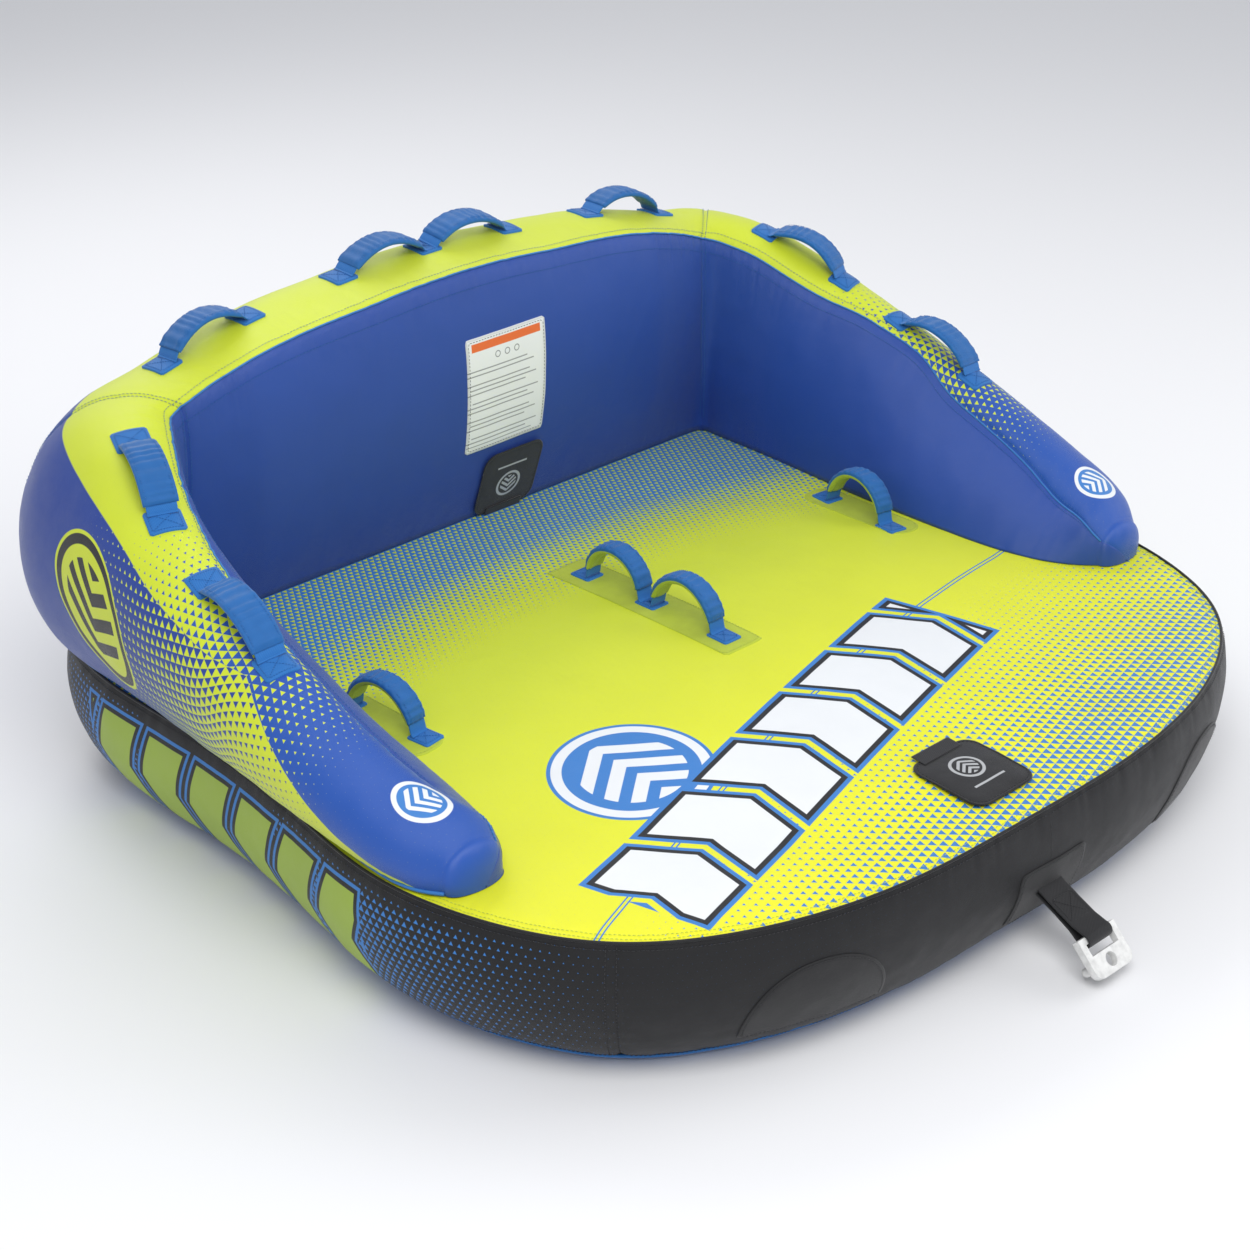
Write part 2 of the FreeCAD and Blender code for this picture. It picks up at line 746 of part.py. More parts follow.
# ---------------------------------------------------------------- grips and their tabs
def arch_body(name, chord, rise, width, thickness, place):
    """A padded webbing arch between two feet: a rounded strip revolved through a shallow arc.

    Local X runs from foot to foot, and Z points away from the tube. The chord's middle is the origin.
    """
    body = doc.addObject("PartDesign::Body", name)
    radius = f"((({chord}) ^ 2 / 4 + ({rise}) ^ 2) / (2 * ({rise})))"
    sketch = new_sketch(body, f"{name}_section", "YZ_Plane")
    rectangle(sketch, width, thickness, f"{rise} - {thickness} / 2")
    drop = sheet_value(f"{rise} - {radius}")
    axis = sketch.addGeometry(Part.LineSegment(Vector(-20, drop, 0), Vector(20, drop, 0)), True)
    sketch.addConstraint(Sketcher.Constraint("Symmetric", axis, 1, axis, 2, -2))
    sketch.addConstraint(Sketcher.Constraint("DistanceX", axis, 1, axis, 2, 40))
    bound(sketch, Sketcher.Constraint("DistanceY", -1, 1, axis, 1, drop), "drop", f"{rise} - {radius}")
    turned = body.newObject("PartDesign::Revolution", f"{name}_arc")
    turned.Profile = sketch
    turned.ReferenceAxis = (sketch, ["Axis0"])
    turned.Midplane = True
    turned.setExpression("Angle", f"2 * asin(({chord}) / 2 / {radius})")
    sketch.Visibility = False
    doc.recompute()
    longest = max(edge.Length for edge in turned.Shape.Edges)
    soft = rounded(
        body, f"{name}_soft_edges", turned, f"{thickness} * 0.42", lambda edge: edge.Length > 0.8 * longest
    )
    body.Tip = soft
    body.Placement = place
    return named(body, name)


def tab(name, width, place):
    """One sewn-down strap end."""
    return box(name, "Sizes.tab_length", width, "Sizes.tab_thickness", place)


def raised(place, height):
    return place.multiply(Placement(Vector(0, 0, height), Rotation()))


def make_grip(name, skin, feet, width, thickness, rise, root, seat_height):
    """One grip and its two tabs. The feet are points near the skin; returns the two tabs."""
    spots = [surface_spot(skin, foot) for foot in feet]
    along = (spots[1][0] - spots[0][0]).normalize()
    middle = (spots[0][0] + spots[1][0]) / 2
    normal = (spots[0][1] + spots[1][1]).normalize()
    normal = (normal - along * normal.dot(along)).normalize()
    lift = (surface_spot(skin, middle + normal * 60)[0] - middle).dot(normal)
    place = frame_at(middle + normal * (max(lift, 0) + root), normal, along)
    span = (spots[1][0] - spots[0][0]).Length - size("tab_length") - 2
    arch_body(name, f"{span:.1f}", rise, width, thickness, place)
    tabs = []
    for index, (spot, upward) in enumerate(spots):
        seat = frame_at(spot + upward * seat_height, upward, along)
        tabs.append(tab(f"{name}_tab_{index}", width, seat))
    return tabs


def make_rim_grips(arm, back):
    """Two grips along the top of each arm, and four across the back rest."""
    strap = ("Sizes.strap_width", "Sizes.strap_thickness", "Sizes.strap_rise")
    root = (size("strap_root_height"), size("tab_seat"))
    for side, sign, skin in (("left", 1, arm), ("right", -1, mirrored(arm))):
        tabs = []
        for place, feet in ARM_GRIPS.items():
            ends = [Vector(sign * foot.x, foot.y, foot.z) for foot in feet]
            tabs += make_grip(f"arm_grip_{side}_{place}", skin, ends, *strap, *root)
        group(f"arm_grip_tabs_{side}", tabs)
    tabs = []
    for side, sign in (("left", 1), ("right", -1)):
        for place, (near, far) in BACK_GRIP_FEET.items():
            ends = [Vector(sign * x, BACK_GRIP_Y, 800) for x in (near, far)]
            made = make_grip(f"back_grip_{side}_{place}", back, ends, *strap, *root)
            shared = place == "centre" and sign < 0
            tabs += made[1:] if shared else made
    group("back_grip_tabs", tabs)


def make_deck_grips(deck):
    """A double loop on the centre line and one loop by each arm."""
    loop = ("Sizes.loop_width", "Sizes.loop_thickness", "Sizes.loop_rise")
    root = (size("loop_root_height"), size("patched_tab_seat"))
    rear, middle, front = [Vector(0, y, ABOVE_DECK) for y in DECK_GRIP_FEET]
    tabs = make_grip("deck_grip_centre_rear", deck, (rear, middle), *loop, *root)
    tabs += make_grip("deck_grip_centre_front", deck, (middle, front), *loop, *root)[1:]
    for side, sign in (("left", 1), ("right", -1)):
        ends = [Vector(sign * SIDE_GRIP_X, y, ABOVE_DECK) for y in SIDE_GRIP_FEET]
        tabs += make_grip(f"deck_grip_{side}", deck, ends, *loop, *root)
    group("deck_grip_tabs", tabs)


# ---------------------------------------------------------------- inflation valves
def make_valve(name, place):
    """Flanged valve body, screw cap with a key bar, check stem, flap cover and its fastener.

    The placement lies on the cover's outer face with Z pointing out of the tube.
    """
    flange_top = -(WALL + size("valve_flange_gap"))
    body_place = raised(place, flange_top)
    down = "Sizes.valve_flange_thickness"
    flange = cylinder(
        f"{name}_flange", "Sizes.valve_flange_radius", down,
        raised(body_place, -size("valve_flange_thickness")),
    )
    collar = cylinder(
        f"{name}_collar", "Sizes.valve_collar_radius", "Sizes.valve_depth",
        raised(body_place, -size("valve_depth")),
    )
    bore = cylinder(
        f"{name}_bore", "Sizes.valve_bore_radius", "Sizes.valve_depth * 0.7",
        raised(body_place, -size("valve_depth") * 0.7),
    )
    guide = cylinder(
        f"{name}_guide", "Sizes.valve_stem_radius + 0.3", "2 * Sizes.valve_depth",
        raised(body_place, -2 * size("valve_depth")),
    )
    ports = []
    for index in range(4):
        spoke = Placement(Vector(0, 0, 0), Rotation(UP, 90 * index + 45))
        port = raised(body_place, -2 * size("valve_depth")).multiply(spoke)
        port = port.multiply(Placement(Vector(9, 0, 0), Rotation()))
        ports.append(cylinder(f"{name}_port_{index}", "4", "2 * Sizes.valve_depth", port))
    blank = fuse(f"{name}_blank", [flange, collar])
    holes = fuse(f"{name}_holes", [bore, guide] + ports)
    named(cut(f"{name}_body", blank, holes), f"{name}_body")

    cap_place = raised(body_place, -size("valve_cap_sink") - size("valve_cap_thickness"))
    disc = cylinder(f"{name}_cap_disc", "Sizes.valve_cap_radius", "Sizes.valve_cap_thickness", cap_place)
    key = box(
        f"{name}_cap_key", "Sizes.valve_cap_radius * 1.6", "Sizes.valve_key_width", "2.6",
        raised(cap_place, size("valve_cap_thickness") - 0.1),
    )
    named(fuse(f"{name}_cap", [disc, key]), f"{name}_cap")

    seat = -size("valve_depth") - 0.5
    disc_low = cylinder(
        f"{name}_stem_disc", "Sizes.valve_disc_radius", "Sizes.valve_disc_thickness",
        raised(body_place, seat - size("valve_disc_thickness")),
    )
    rod = cylinder(
        f"{name}_stem_rod", "Sizes.valve_stem_radius", "Sizes.valve_stem_length",
        raised(body_place, seat - 0.1),
    )
    named(fuse(f"{name}_stem", [disc_low, rod]), f"{name}_stem")


def make_flap(name, place):
    """A rounded flap, sewn along its -Y edge in local axes, and the fastener patch under its tip."""
    body = doc.addObject("PartDesign::Body", f"{name}_flap")
    sketch = new_sketch(body, f"{name}_flap_outline", "XY_Plane")
    rectangle(sketch, "Sizes.flap_width", "Sizes.flap_length", "2")
    leaf = pad(body, f"{name}_flap_leaf", sketch, "Sizes.flap_thickness", centred=False)
    upright = rounded(
        body, f"{name}_flap_corners", leaf, "Sizes.flap_corner",
        lambda edge: abs(edge.Length - size("flap_thickness")) < 0.01 and edge.CenterOfMass.y > 20,
    )
    body.Tip = upright
    body.Placement = raised(place, size("flap_lift"))
    named(body, f"{name}_flap")
    patch_place = place.multiply(Placement(Vector(0, size("flap_length") - 14, 0.8), Rotation()))
    patch = box(
        f"{name}_fastener", "Sizes.hook_patch_width", "Sizes.hook_patch_length",
        "Sizes.hook_patch_thickness", patch_place,
    )
    named(patch, f"{name}_fastener")


# ---------------------------------------------------------------- cover zipper
def make_zipper():
    """A closed zipper along the rear wall, with its slider and pull at the +X end."""
    facing = Rotation(Vector(1, 0, 0), Vector(0, 0, -1), Vector(0, 1, 0), "ZXY")
    base = Placement(Vector(0, size("zip_face"), size("zip_height")), facing)
    named(box("zipper_tape", "Sizes.zip_length", "Sizes.zip_tape_width", "Sizes.zip_tape_thickness", base),
          "zipper_tape")
    teeth_place = raised(base, size("zip_tape_thickness") + 0.02)
    named(
        box("zipper_teeth", "Sizes.zip_length - 2 * Sizes.zip_end_margin", "Sizes.zip_teeth_width",
            "Sizes.zip_teeth_thickness", teeth_place),
        "zipper_teeth",
    )
    named(*zipper_slider(teeth_place))


def zipper_slider(teeth_place):
    """The slider, and the pull that turns on its pin; returns the slider and its name."""
    clear = size("slider_clearance")
    wall = size("slider_wall")
    at_end = Placement(Vector(size("zip_length") / 2 - size("slider_from_end"), 0, 0), Rotation())
    place = teeth_place.multiply(at_end)
    plate = box(
        "slider_plate", "Sizes.slider_length", "Sizes.slider_width", "Sizes.slider_wall",
        raised(place, size("zip_teeth_thickness") + clear),
    )
    flanges = []
    for sign in (-1, 1):
        edge = Placement(Vector(0, sign * (size("slider_width") - wall) / 2, clear), Rotation())
        flanges.append(box(f"slider_flange_{sign + 1}", "Sizes.slider_length", "Sizes.slider_wall",
                           "Sizes.zip_teeth_thickness + 2 * Sizes.slider_clearance", place.multiply(edge)))
    plate_top = size("zip_teeth_thickness") + clear + wall
    pin_height = plate_top + size("pull_barrel_radius") + 0.4
    ear_height = pin_height - plate_top + size("slider_ear_over_pin")
    ears = []
    for sign in (-1, 1):
        spot = Placement(Vector(0, sign * size("slider_ear_spread"), plate_top - 0.1), Rotation())
        ears.append(box(f"slider_ear_{sign + 1}", "Sizes.slider_ear_length", "Sizes.slider_ear_width",
                        f"{ear_height}", place.multiply(spot)))

    def across(length):
        """Where a cylinder of this length starts so that it is centred on the pin's axis."""
        return place.multiply(
            Placement(Vector(0, -length / 2, pin_height), Rotation(Vector(1, 0, 0), -90))
        )

    pin = cylinder(
        "slider_pin", "Sizes.pull_pin_radius", "Sizes.slider_pin_length", across(size("slider_pin_length"))
    )
    neck_low = pin_height - size("pull_thickness") / 2
    neck_place = place.multiply(Placement(Vector(-size("pull_neck_length") / 2, 0, neck_low), Rotation()))
    neck = box(
        "pull_neck", "Sizes.pull_neck_length", "Sizes.pull_neck_width", "Sizes.pull_thickness", neck_place
    )
    leaf_place = neck_place.multiply(Placement(Vector(-1 - size("pull_length") / 2, 0, 0), Rotation()))
    leaf = box("pull_leaf", "Sizes.pull_length", "Sizes.pull_width", "Sizes.pull_thickness", leaf_place)
    barrel = cylinder(
        "pull_barrel", "Sizes.pull_barrel_radius", "Sizes.pull_neck_width", across(size("pull_neck_width"))
    )
    bore = cylinder(
        "pull_bore", "Sizes.pull_pin_radius + 0.1", "2 * Sizes.pull_neck_width",
        across(2 * size("pull_neck_width")),
    )
    named(cut("zipper_pull", fuse("pull_blank", [neck, leaf, barrel]), bore), "zipper_pull")
    ANCHORS["zipper_pull"] = raised(place, pin_height)
    return fuse("zipper_slider", [plate, pin] + flanges + ears), "zipper_slider"


# ---------------------------------------------------------------- tow strap and hook
def make_tow():
    """A stitched webbing sleeve with an end loop, and a moulded hook whose bar turns in the loop."""
    pitch = Rotation(Vector(1, 0, 0), size("tow_droop"))
    root = Placement(TOW_ROOT, pitch)
    length = size("tow_length")
    half = size("tow_thickness") / 2
    loop = size("tow_loop_radius")
    strap = doc.addObject("PartDesign::Body", "tow_strap")
    sleeve_sketch = new_sketch(strap, "tow_sleeve_side", "YZ_Plane")
    reach = length - loop * 0.75
    corners = [Vector(0, -half, 0), Vector(-reach, -half, 0), Vector(-reach, half, 0), Vector(0, half, 0)]
    for index in range(4):
        sleeve_sketch.addGeometry(Part.LineSegment(corners[index], corners[(index + 1) % 4]), False)
    for index in range(4):
        sleeve_sketch.addConstraint(Sketcher.Constraint("Coincident", index, 2, (index + 1) % 4, 1))
    for index, kind in ((0, "Horizontal"), (1, "Vertical"), (2, "Horizontal")):
        sleeve_sketch.addConstraint(Sketcher.Constraint(kind, index))
    sleeve_sketch.addConstraint(Sketcher.Constraint("Symmetric", 3, 1, 3, 2, -1))
    sleeve_sketch.addConstraint(Sketcher.Constraint("PointOnObject", 3, 1, -2))
    bound(sleeve_sketch, Sketcher.Constraint("DistanceY", 3, 2, 3, 1, 2 * half), "thick",
          "Sizes.tow_thickness")
    bound(sleeve_sketch, Sketcher.Constraint("DistanceX", 0, 2, 0, 1, reach), "reach",
          "Sizes.tow_length - Sizes.tow_loop_radius * 0.75")
    sleeve = pad(strap, "tow_sleeve", sleeve_sketch, "Sizes.tow_width")
    end_sketch = new_sketch(strap, "tow_loop_side", "YZ_Plane")
    ring = circle(end_sketch, "Sizes.tow_loop_radius", "outer", (-length, 0))
    end_sketch.addConstraint(Sketcher.Constraint("PointOnObject", ring, 3, -1))
    bound(end_sketch, Sketcher.Constraint("DistanceX", ring, 3, -1, 1, length), "reach",
          "Sizes.tow_length")
    pad(strap, "tow_loop", end_sketch, "Sizes.tow_width")
    bore_sketch = new_sketch(strap, "tow_bore_side", "YZ_Plane")
    bore = circle(bore_sketch, "Sizes.tow_bar_clearance", "inner", (-length, 0))
    bore_sketch.addConstraint(Sketcher.Constraint("PointOnObject", bore, 3, -1))
    bound(bore_sketch, Sketcher.Constraint("DistanceX", bore, 3, -1, 1, length), "reach",
          "Sizes.tow_length")
    pocket = strap.newObject("PartDesign::Pocket", "tow_bore")
    pocket.Profile = bore_sketch
    pocket.SideType = "Symmetric"
    pocket.setExpression("Length", "Sizes.tow_width + 2")
    strap.Tip = pocket
    strap.Placement = root
    named(strap, "tow_strap")

    droop = Rotation(Vector(1, 0, 0), size("hook_droop"))
    hinge = root.multiply(Placement(Vector(0, -length, 0), droop))
    ANCHORS["tow_strap"] = root
    ANCHORS["tow_hook"] = hinge
    thick = size("hook_thickness")
    flat = hinge.multiply(Placement(Vector(0, 0, -thick / 2), Rotation()))
    bar_half = size("hook_bar") / 2
    body_length = size("hook_length")
    outer = box("hook_outer", "Sizes.hook_width", "Sizes.hook_length", "Sizes.hook_thickness",
                flat.multiply(Placement(Vector(0, bar_half - body_length / 2, 0), Rotation())))
    soft = doc.addObject("Part::Fillet", "hook_blank")
    soft.Base = outer
    doc.recompute()
    soft.Edges = [
        (index + 1, size("hook_corner"), size("hook_corner"))
        for index, edge in enumerate(outer.Shape.Edges)
        if abs(edge.Length - thick) < 0.01 and edge.CenterOfMass.y < hinge.Base.y - 20
    ]
    window_length = size("tow_loop_radius") + 6
    window = box("hook_window", "Sizes.tow_width + 4", f"{window_length}", "2 * Sizes.hook_thickness",
                 flat.multiply(Placement(Vector(0, -bar_half - window_length / 2, -thick / 2), Rotation())))
    end = bar_half - body_length
    eye_place = flat.multiply(Placement(Vector(0, end + size("hook_eye_margin"), -thick / 2), Rotation()))
    eye = cylinder("hook_eye", "Sizes.hook_eye_radius", "2 * Sizes.hook_thickness", eye_place)
    post_place = flat.multiply(
        Placement(
            Vector(-size("hook_post_side"), end + size("hook_post_margin"), 1 - size("hook_post_length")),
            Rotation(),
        )
    )
    post = cylinder("hook_post", "Sizes.hook_post_radius", "Sizes.hook_post_length", post_place)
    opened = cut("hook_opened", soft, fuse("hook_openings", [window, eye]))
    named(fuse("tow_hook", [opened, post]), "tow_hook")


# ---------------------------------------------------------------- build
deck_whole = deck_shape()
deck_spot, deck_normal = surface_spot(deck_whole, DECK_VALVE)
DECK_FRAME = frame_at(deck_spot, deck_normal, Vector(1, 0, 0))
back_skin = lofted(rim_wires(RIGHT_MITRE, LEFT_MITRE, 0))
arm_skin = lofted(rim_wires(0, RIGHT_MITRE, 0))
back_spot, back_normal = surface_spot(back_skin, BACK_VALVE)
BACK_FRAME = frame_at(back_spot, back_normal, Vector(1, 0, 0))
TOW_ROOT = Vector(8, BASE_OUTLINE[0][1] - size("tow_clearance"), size("tow_height"))

make_base()
make_grommets()
make_rim()
make_patches()
make_rim_grips(arm_skin, back_skin)
make_deck_grips(deck_whole)
make_valve("deck_valve", DECK_FRAME)
make_valve("back_valve", BACK_FRAME)
flap_start = -size("flap_length") / 2
hinge_rear = Placement(Vector(0, -flap_start, 0), Rotation(UP, 180))
make_flap("deck_valve", DECK_FRAME.multiply(hinge_rear))
make_flap("back_valve", BACK_FRAME.multiply(Placement(Vector(0, flap_start, 0), Rotation())))
make_zipper()
make_tow()
doc.recompute()

# ---------------------------------------------------------------- check and write
for item in doc.Objects:
    bad = [state for state in item.State if state in ("Invalid", "Error")]
    if bad:
        raise RuntimeError(f"{item.Name} is {bad}")
for name, item in nodes.items():
    shape = item.Shape
    if shape.isNull() or not shape.isValid() or not shape.Solids:
        raise RuntimeError(f"{name} has no valid solid")
for name, item in nodes.items():
    item.Shape.exportStep(f"parts/{name}.step")
    box_now = item.Shape.BoundBox
    print(
        f"{name:26s} solids {len(item.Shape.Solids)} volume {item.Shape.Volume / 1000:9.1f} cm3",
        f"x {box_now.XMin:7.1f} {box_now.XMax:7.1f} y {box_now.YMin:7.1f} {box_now.YMax:7.1f}",
        f"z {box_now.ZMin:6.1f} {box_now.ZMax:6.1f}",
    )
print(len(nodes), "nodes")
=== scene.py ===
"""Looks of the towable tube: sewn fabric covers, padded grips, valve flaps, zipper and tow strap."""

import json
import math

import bmesh
import bpy
import numpy as np
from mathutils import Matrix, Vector, noise
from mathutils.bvhtree import BVHTree


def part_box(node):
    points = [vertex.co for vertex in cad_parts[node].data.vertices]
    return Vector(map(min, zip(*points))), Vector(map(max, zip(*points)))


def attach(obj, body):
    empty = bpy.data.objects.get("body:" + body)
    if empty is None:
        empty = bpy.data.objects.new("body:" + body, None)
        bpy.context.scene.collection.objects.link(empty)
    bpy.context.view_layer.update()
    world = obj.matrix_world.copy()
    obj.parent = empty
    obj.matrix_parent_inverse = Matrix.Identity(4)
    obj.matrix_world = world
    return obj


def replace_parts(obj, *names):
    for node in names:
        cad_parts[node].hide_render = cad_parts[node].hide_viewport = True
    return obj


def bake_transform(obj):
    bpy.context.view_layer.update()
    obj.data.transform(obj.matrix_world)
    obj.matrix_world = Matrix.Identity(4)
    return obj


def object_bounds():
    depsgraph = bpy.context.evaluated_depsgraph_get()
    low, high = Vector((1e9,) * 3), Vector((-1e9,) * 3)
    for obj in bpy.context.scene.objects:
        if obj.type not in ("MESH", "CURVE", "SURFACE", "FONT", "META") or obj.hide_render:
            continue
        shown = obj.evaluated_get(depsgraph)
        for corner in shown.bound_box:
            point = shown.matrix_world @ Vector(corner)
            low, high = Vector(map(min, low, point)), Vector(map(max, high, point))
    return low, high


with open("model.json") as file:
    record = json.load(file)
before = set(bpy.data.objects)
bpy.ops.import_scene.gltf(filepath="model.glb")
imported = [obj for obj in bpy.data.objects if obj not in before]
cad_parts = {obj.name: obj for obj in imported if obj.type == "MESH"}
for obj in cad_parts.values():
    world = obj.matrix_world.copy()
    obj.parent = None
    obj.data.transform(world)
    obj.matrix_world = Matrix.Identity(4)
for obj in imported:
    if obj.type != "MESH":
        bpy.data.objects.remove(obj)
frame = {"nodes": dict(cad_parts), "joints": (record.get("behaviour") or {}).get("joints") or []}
CAD_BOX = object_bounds()
JOINTS = {joint["name"]: joint for joint in frame["joints"]}

X, Y, UP = Vector((1, 0, 0)), Vector((0, 1, 0)), Vector((0, 0, 1))
FORWARD = np.array([0.0, -1.0, 0.0])
FAR = 0.6
VALVE_HOLE = 0.031
THREAD_LIFT, RIM_THREAD_LIFT = 0.0006, 0.0007
RIM_GRIP, DECK_GRIP = (0.056, 0.012), (0.038, 0.016)
BAND_LOW, BAND_HIGH = (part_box("side_band")[index].z for index in (0, 1))
DECK_EDGE = BAND_HIGH + 0.003
RIM_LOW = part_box("back_cover")[0].z

# Print colours, as linear RGB.
YELLOW = (0.62, 0.72, 0.022)
YELLOW_WARM = (0.82, 0.80, 0.010)
BLUE = (0.010, 0.080, 0.40)
BLUE_DEEP = (0.010, 0.048, 0.29)
BLUE_LIGHT = (0.035, 0.20, 0.56)
TEAL = (0.012, 0.135, 0.42)
BLACK = (0.006, 0.006, 0.007)
WHITE = (0.80, 0.82, 0.83)
GREEN_DULL = (0.34, 0.47, 0.06)
ORANGE = (0.78, 0.16, 0.04)
GREY = (0.16, 0.17, 0.18)


# ------------------------------------------------------------------ shader fields
class Field:
    """A number that varies over a surface, built into shader nodes by Python's operators."""

    def __init__(self, tree, socket):
        self.tree = tree
        self.socket = socket

    def math(self, kind, *others, clamp=False):
        node = self.tree.nodes.new("ShaderNodeMath")
        node.operation = kind
        node.use_clamp = clamp
        for index, value in enumerate((self,) + others):
            if isinstance(value, Field):
                self.tree.links.new(value.socket, node.inputs[index])
            else:
                node.inputs[index].default_value = value
        return Field(self.tree, node.outputs[0])

    def __add__(self, other):
        return self.math("ADD", other)

    __radd__ = __add__

    def __sub__(self, other):
        return self.math("SUBTRACT", other)

    def __rsub__(self, other):
        return (self * -1.0) + other

    def __mul__(self, other):
        return self.math("MULTIPLY", other)

    __rmul__ = __mul__

    def __truediv__(self, other):
        return self.math("DIVIDE", other)

    def __abs__(self):
        return self.math("ABSOLUTE")

    def fract(self):
        return self.math("FRACT")

    def floor(self):
        return self.math("FLOOR")

    def root(self):
        return self.math("SQRT")

    def least(self, other):
        return self.math("MINIMUM", other)

    def most(self, other):
        return self.math("MAXIMUM", other)

    def held(self):
        """Clamped between 0 and 1."""
        return self.math("ADD", 0.0, clamp=True)

    def above(self, edge, soft=0.0008):
        """1 where the number is over an edge, 0 where it is under, with a soft step between."""
        return ((self - edge) * (1.0 / soft) + 0.5).held()

    def below(self, edge, soft=0.0008):
        return 1.0 - self.above(edge, soft)

    def between(self, low, high, soft=0.0008):
        return self.above(low, soft) * self.below(high, soft)


def length_of(x, y):
    """Distance from the origin of a plane."""
    return (x * x + y * y).root()


def halftone(x, y, cell, cover):
    """Staggered triangles in rows. Cover 0 is none, 1 is half and interlocking, 2 is solid."""
    rows = y * (1.0 / (cell * 0.866))
    across = (x * (1.0 / cell) + (rows.floor() * 0.5).fract()).fract() - 0.5
    up = rows.fract() - 0.5
    grow = cover.least(1.0)
    rise = up + 1.0 / 6.0
    printed = (rise + grow * (1 / 3)).least((grow * (2 / 3) - rise) * 0.5 - abs(across)).above(0.0, 0.06)
    shrink = (2.0 - cover).held()
    fall = 1.0 / 6.0 - up
    shifted = (x * (1.0 / cell) + (rows.floor() * 0.5).fract() + 0.5).fract() - 0.5
    left = (fall + shrink * (1 / 3)).least((shrink * (2 / 3) - fall) * 0.5 - abs(shifted)).above(0.0, 0.06)
    solid = cover.above(1.0, 0.02)
    return printed * (1.0 - solid) + (1.0 - left) * solid


class Finish:
    """One material while it is put together."""

    def __init__(self, name, roughness=0.5, sheen=0.0, coat=0.0, metal=0.0, specular=0.5):
        self.material = bpy.data.materials.new(name)
        self.material.use_nodes = True
        self.tree = self.material.node_tree
        self.shader = self.tree.nodes["Principled BSDF"]
        self.shader.inputs["Roughness"].default_value = roughness
        self.shader.inputs["Metallic"].default_value = metal
        self.shader.inputs["Specular IOR Level"].default_value = specular
        self.shader.inputs["Sheen Weight"].default_value = sheen
        self.shader.inputs["Sheen Roughness"].default_value = 0.45
        self.shader.inputs["Coat Weight"].default_value = coat
        self.shader.inputs["Coat Roughness"].default_value = 0.35
        self.base_roughness = roughness
        self.bumps = []

    def node(self, kind):
        return self.tree.nodes.new(kind)

    def uv(self, layer):
        """Both coordinates of a UV map, in metres."""
        source = self.node("ShaderNodeUVMap")
        source.uv_map = layer
        parts = self.node("ShaderNodeSeparateXYZ")
        self.tree.links.new(source.outputs["UV"], parts.inputs[0])
        return Field(self.tree, parts.outputs[0]), Field(self.tree, parts.outputs[1])

    def cloud(self, scale, detail=3.0):
        """Soft noise from 0 to 1."""
        source = self.node("ShaderNodeTexNoise")
        source.inputs["Scale"].default_value = scale
        source.inputs["Detail"].default_value = detail
        self.tree.links.new(self.node("ShaderNodeTexCoord").outputs["Object"], source.inputs["Vector"])
        return Field(self.tree, source.outputs[0])

    def mix(self, under, over, share):
        """Colour over under by a field or a number. Colours are RGB tuples or sockets."""
        node = self.node("ShaderNodeMix")
        node.data_type = "RGBA"
        for slot_index, colour in ((6, under), (7, over)):
            if isinstance(colour, tuple):
                node.inputs[slot_index].default_value = (*colour, 1.0)
            else:
                self.tree.links.new(colour, node.inputs[slot_index])
        if isinstance(share, Field):
            self.tree.links.new(share.socket, node.inputs[0])
        else:
            node.inputs[0].default_value = share
        return node.outputs[2]

    def colour(self, socket, grime=0.12):
        """Set the base colour, with a slight uneven tone."""
        tone = (self.cloud(5.0) - 0.5) * (2 * grime)
        node = self.node("ShaderNodeHueSaturation")
        self.tree.links.new((tone + 1.0).socket, node.inputs["Value"])
        if isinstance(socket, tuple):
            node.inputs["Color"].default_value = (*socket, 1.0)
        else:
            self.tree.links.new(socket, node.inputs["Color"])
        self.tree.links.new(node.outputs[0], self.shader.inputs["Base Color"])
        uneven = (self.cloud(38.0) - 0.5) * 0.16 + self.base_roughness
        self.tree.links.new(uneven.socket, self.shader.inputs["Roughness"])

    def bump(self, height, distance, strength=1.0):
        """Relief from a field, on top of the relief so far."""
        node = self.node("ShaderNodeBump")
        node.inputs["Distance"].default_value = distance
        node.inputs["Strength"].default_value = strength
        self.tree.links.new(height.socket, node.inputs["Height"])
        if self.bumps:
            self.tree.links.new(self.bumps[-1].outputs[0], node.inputs["Normal"])
        self.bumps.append(node)
        self.tree.links.new(node.outputs[0], self.shader.inputs["Normal"])

    def weave(self, layer, thread=0.0016, depth=0.0002):
        """A plain weave: threads over and under each other."""
        across, along = self.uv(layer)
        warp = (across * (2 * math.pi / thread)).math("SINE")
        weft = (along * (2 * math.pi / thread)).math("SINE")
        self.bump(warp * weft, depth, 0.5)

    def creases(self, scale, depth):
        """Soft irregular folds."""
        self.bump(self.cloud(scale, 4.0), depth, 0.7)

    def sewn(self, colour, grime, scale, depth):
        """The colour, weave and creases of a cover's cloth."""
        self.colour(colour, grime)
        self.weave("Print")
        self.creases(scale, depth)
        return self.material


# ------------------------------------------------------------------ printed covers
def chevron_row(along, across, start, stop, height, pitch, bar, slant):
    """Distance inside a row of pointed bars: positive inside a bar, negative outside."""
    middle = across - height / 2
    slid = along - start + abs(middle) * slant
    inside_pitch = abs((slid / pitch).fract() * pitch - pitch / 2)
    bars = (inside_pitch * -1.0) + bar / 2
    ends = (along - start).least(stop - along)
    edges = (abs(middle) * -1.0) + height / 2
    return bars.least(edges).least(ends)


def bars_on(finish, colour, row, layers):
    """Print a row of bars with its borders; layers are (edge, ink), from the outside in."""
    for edge, ink in layers:
        colour = finish.mix(colour, ink, row.above(edge))
    return colour


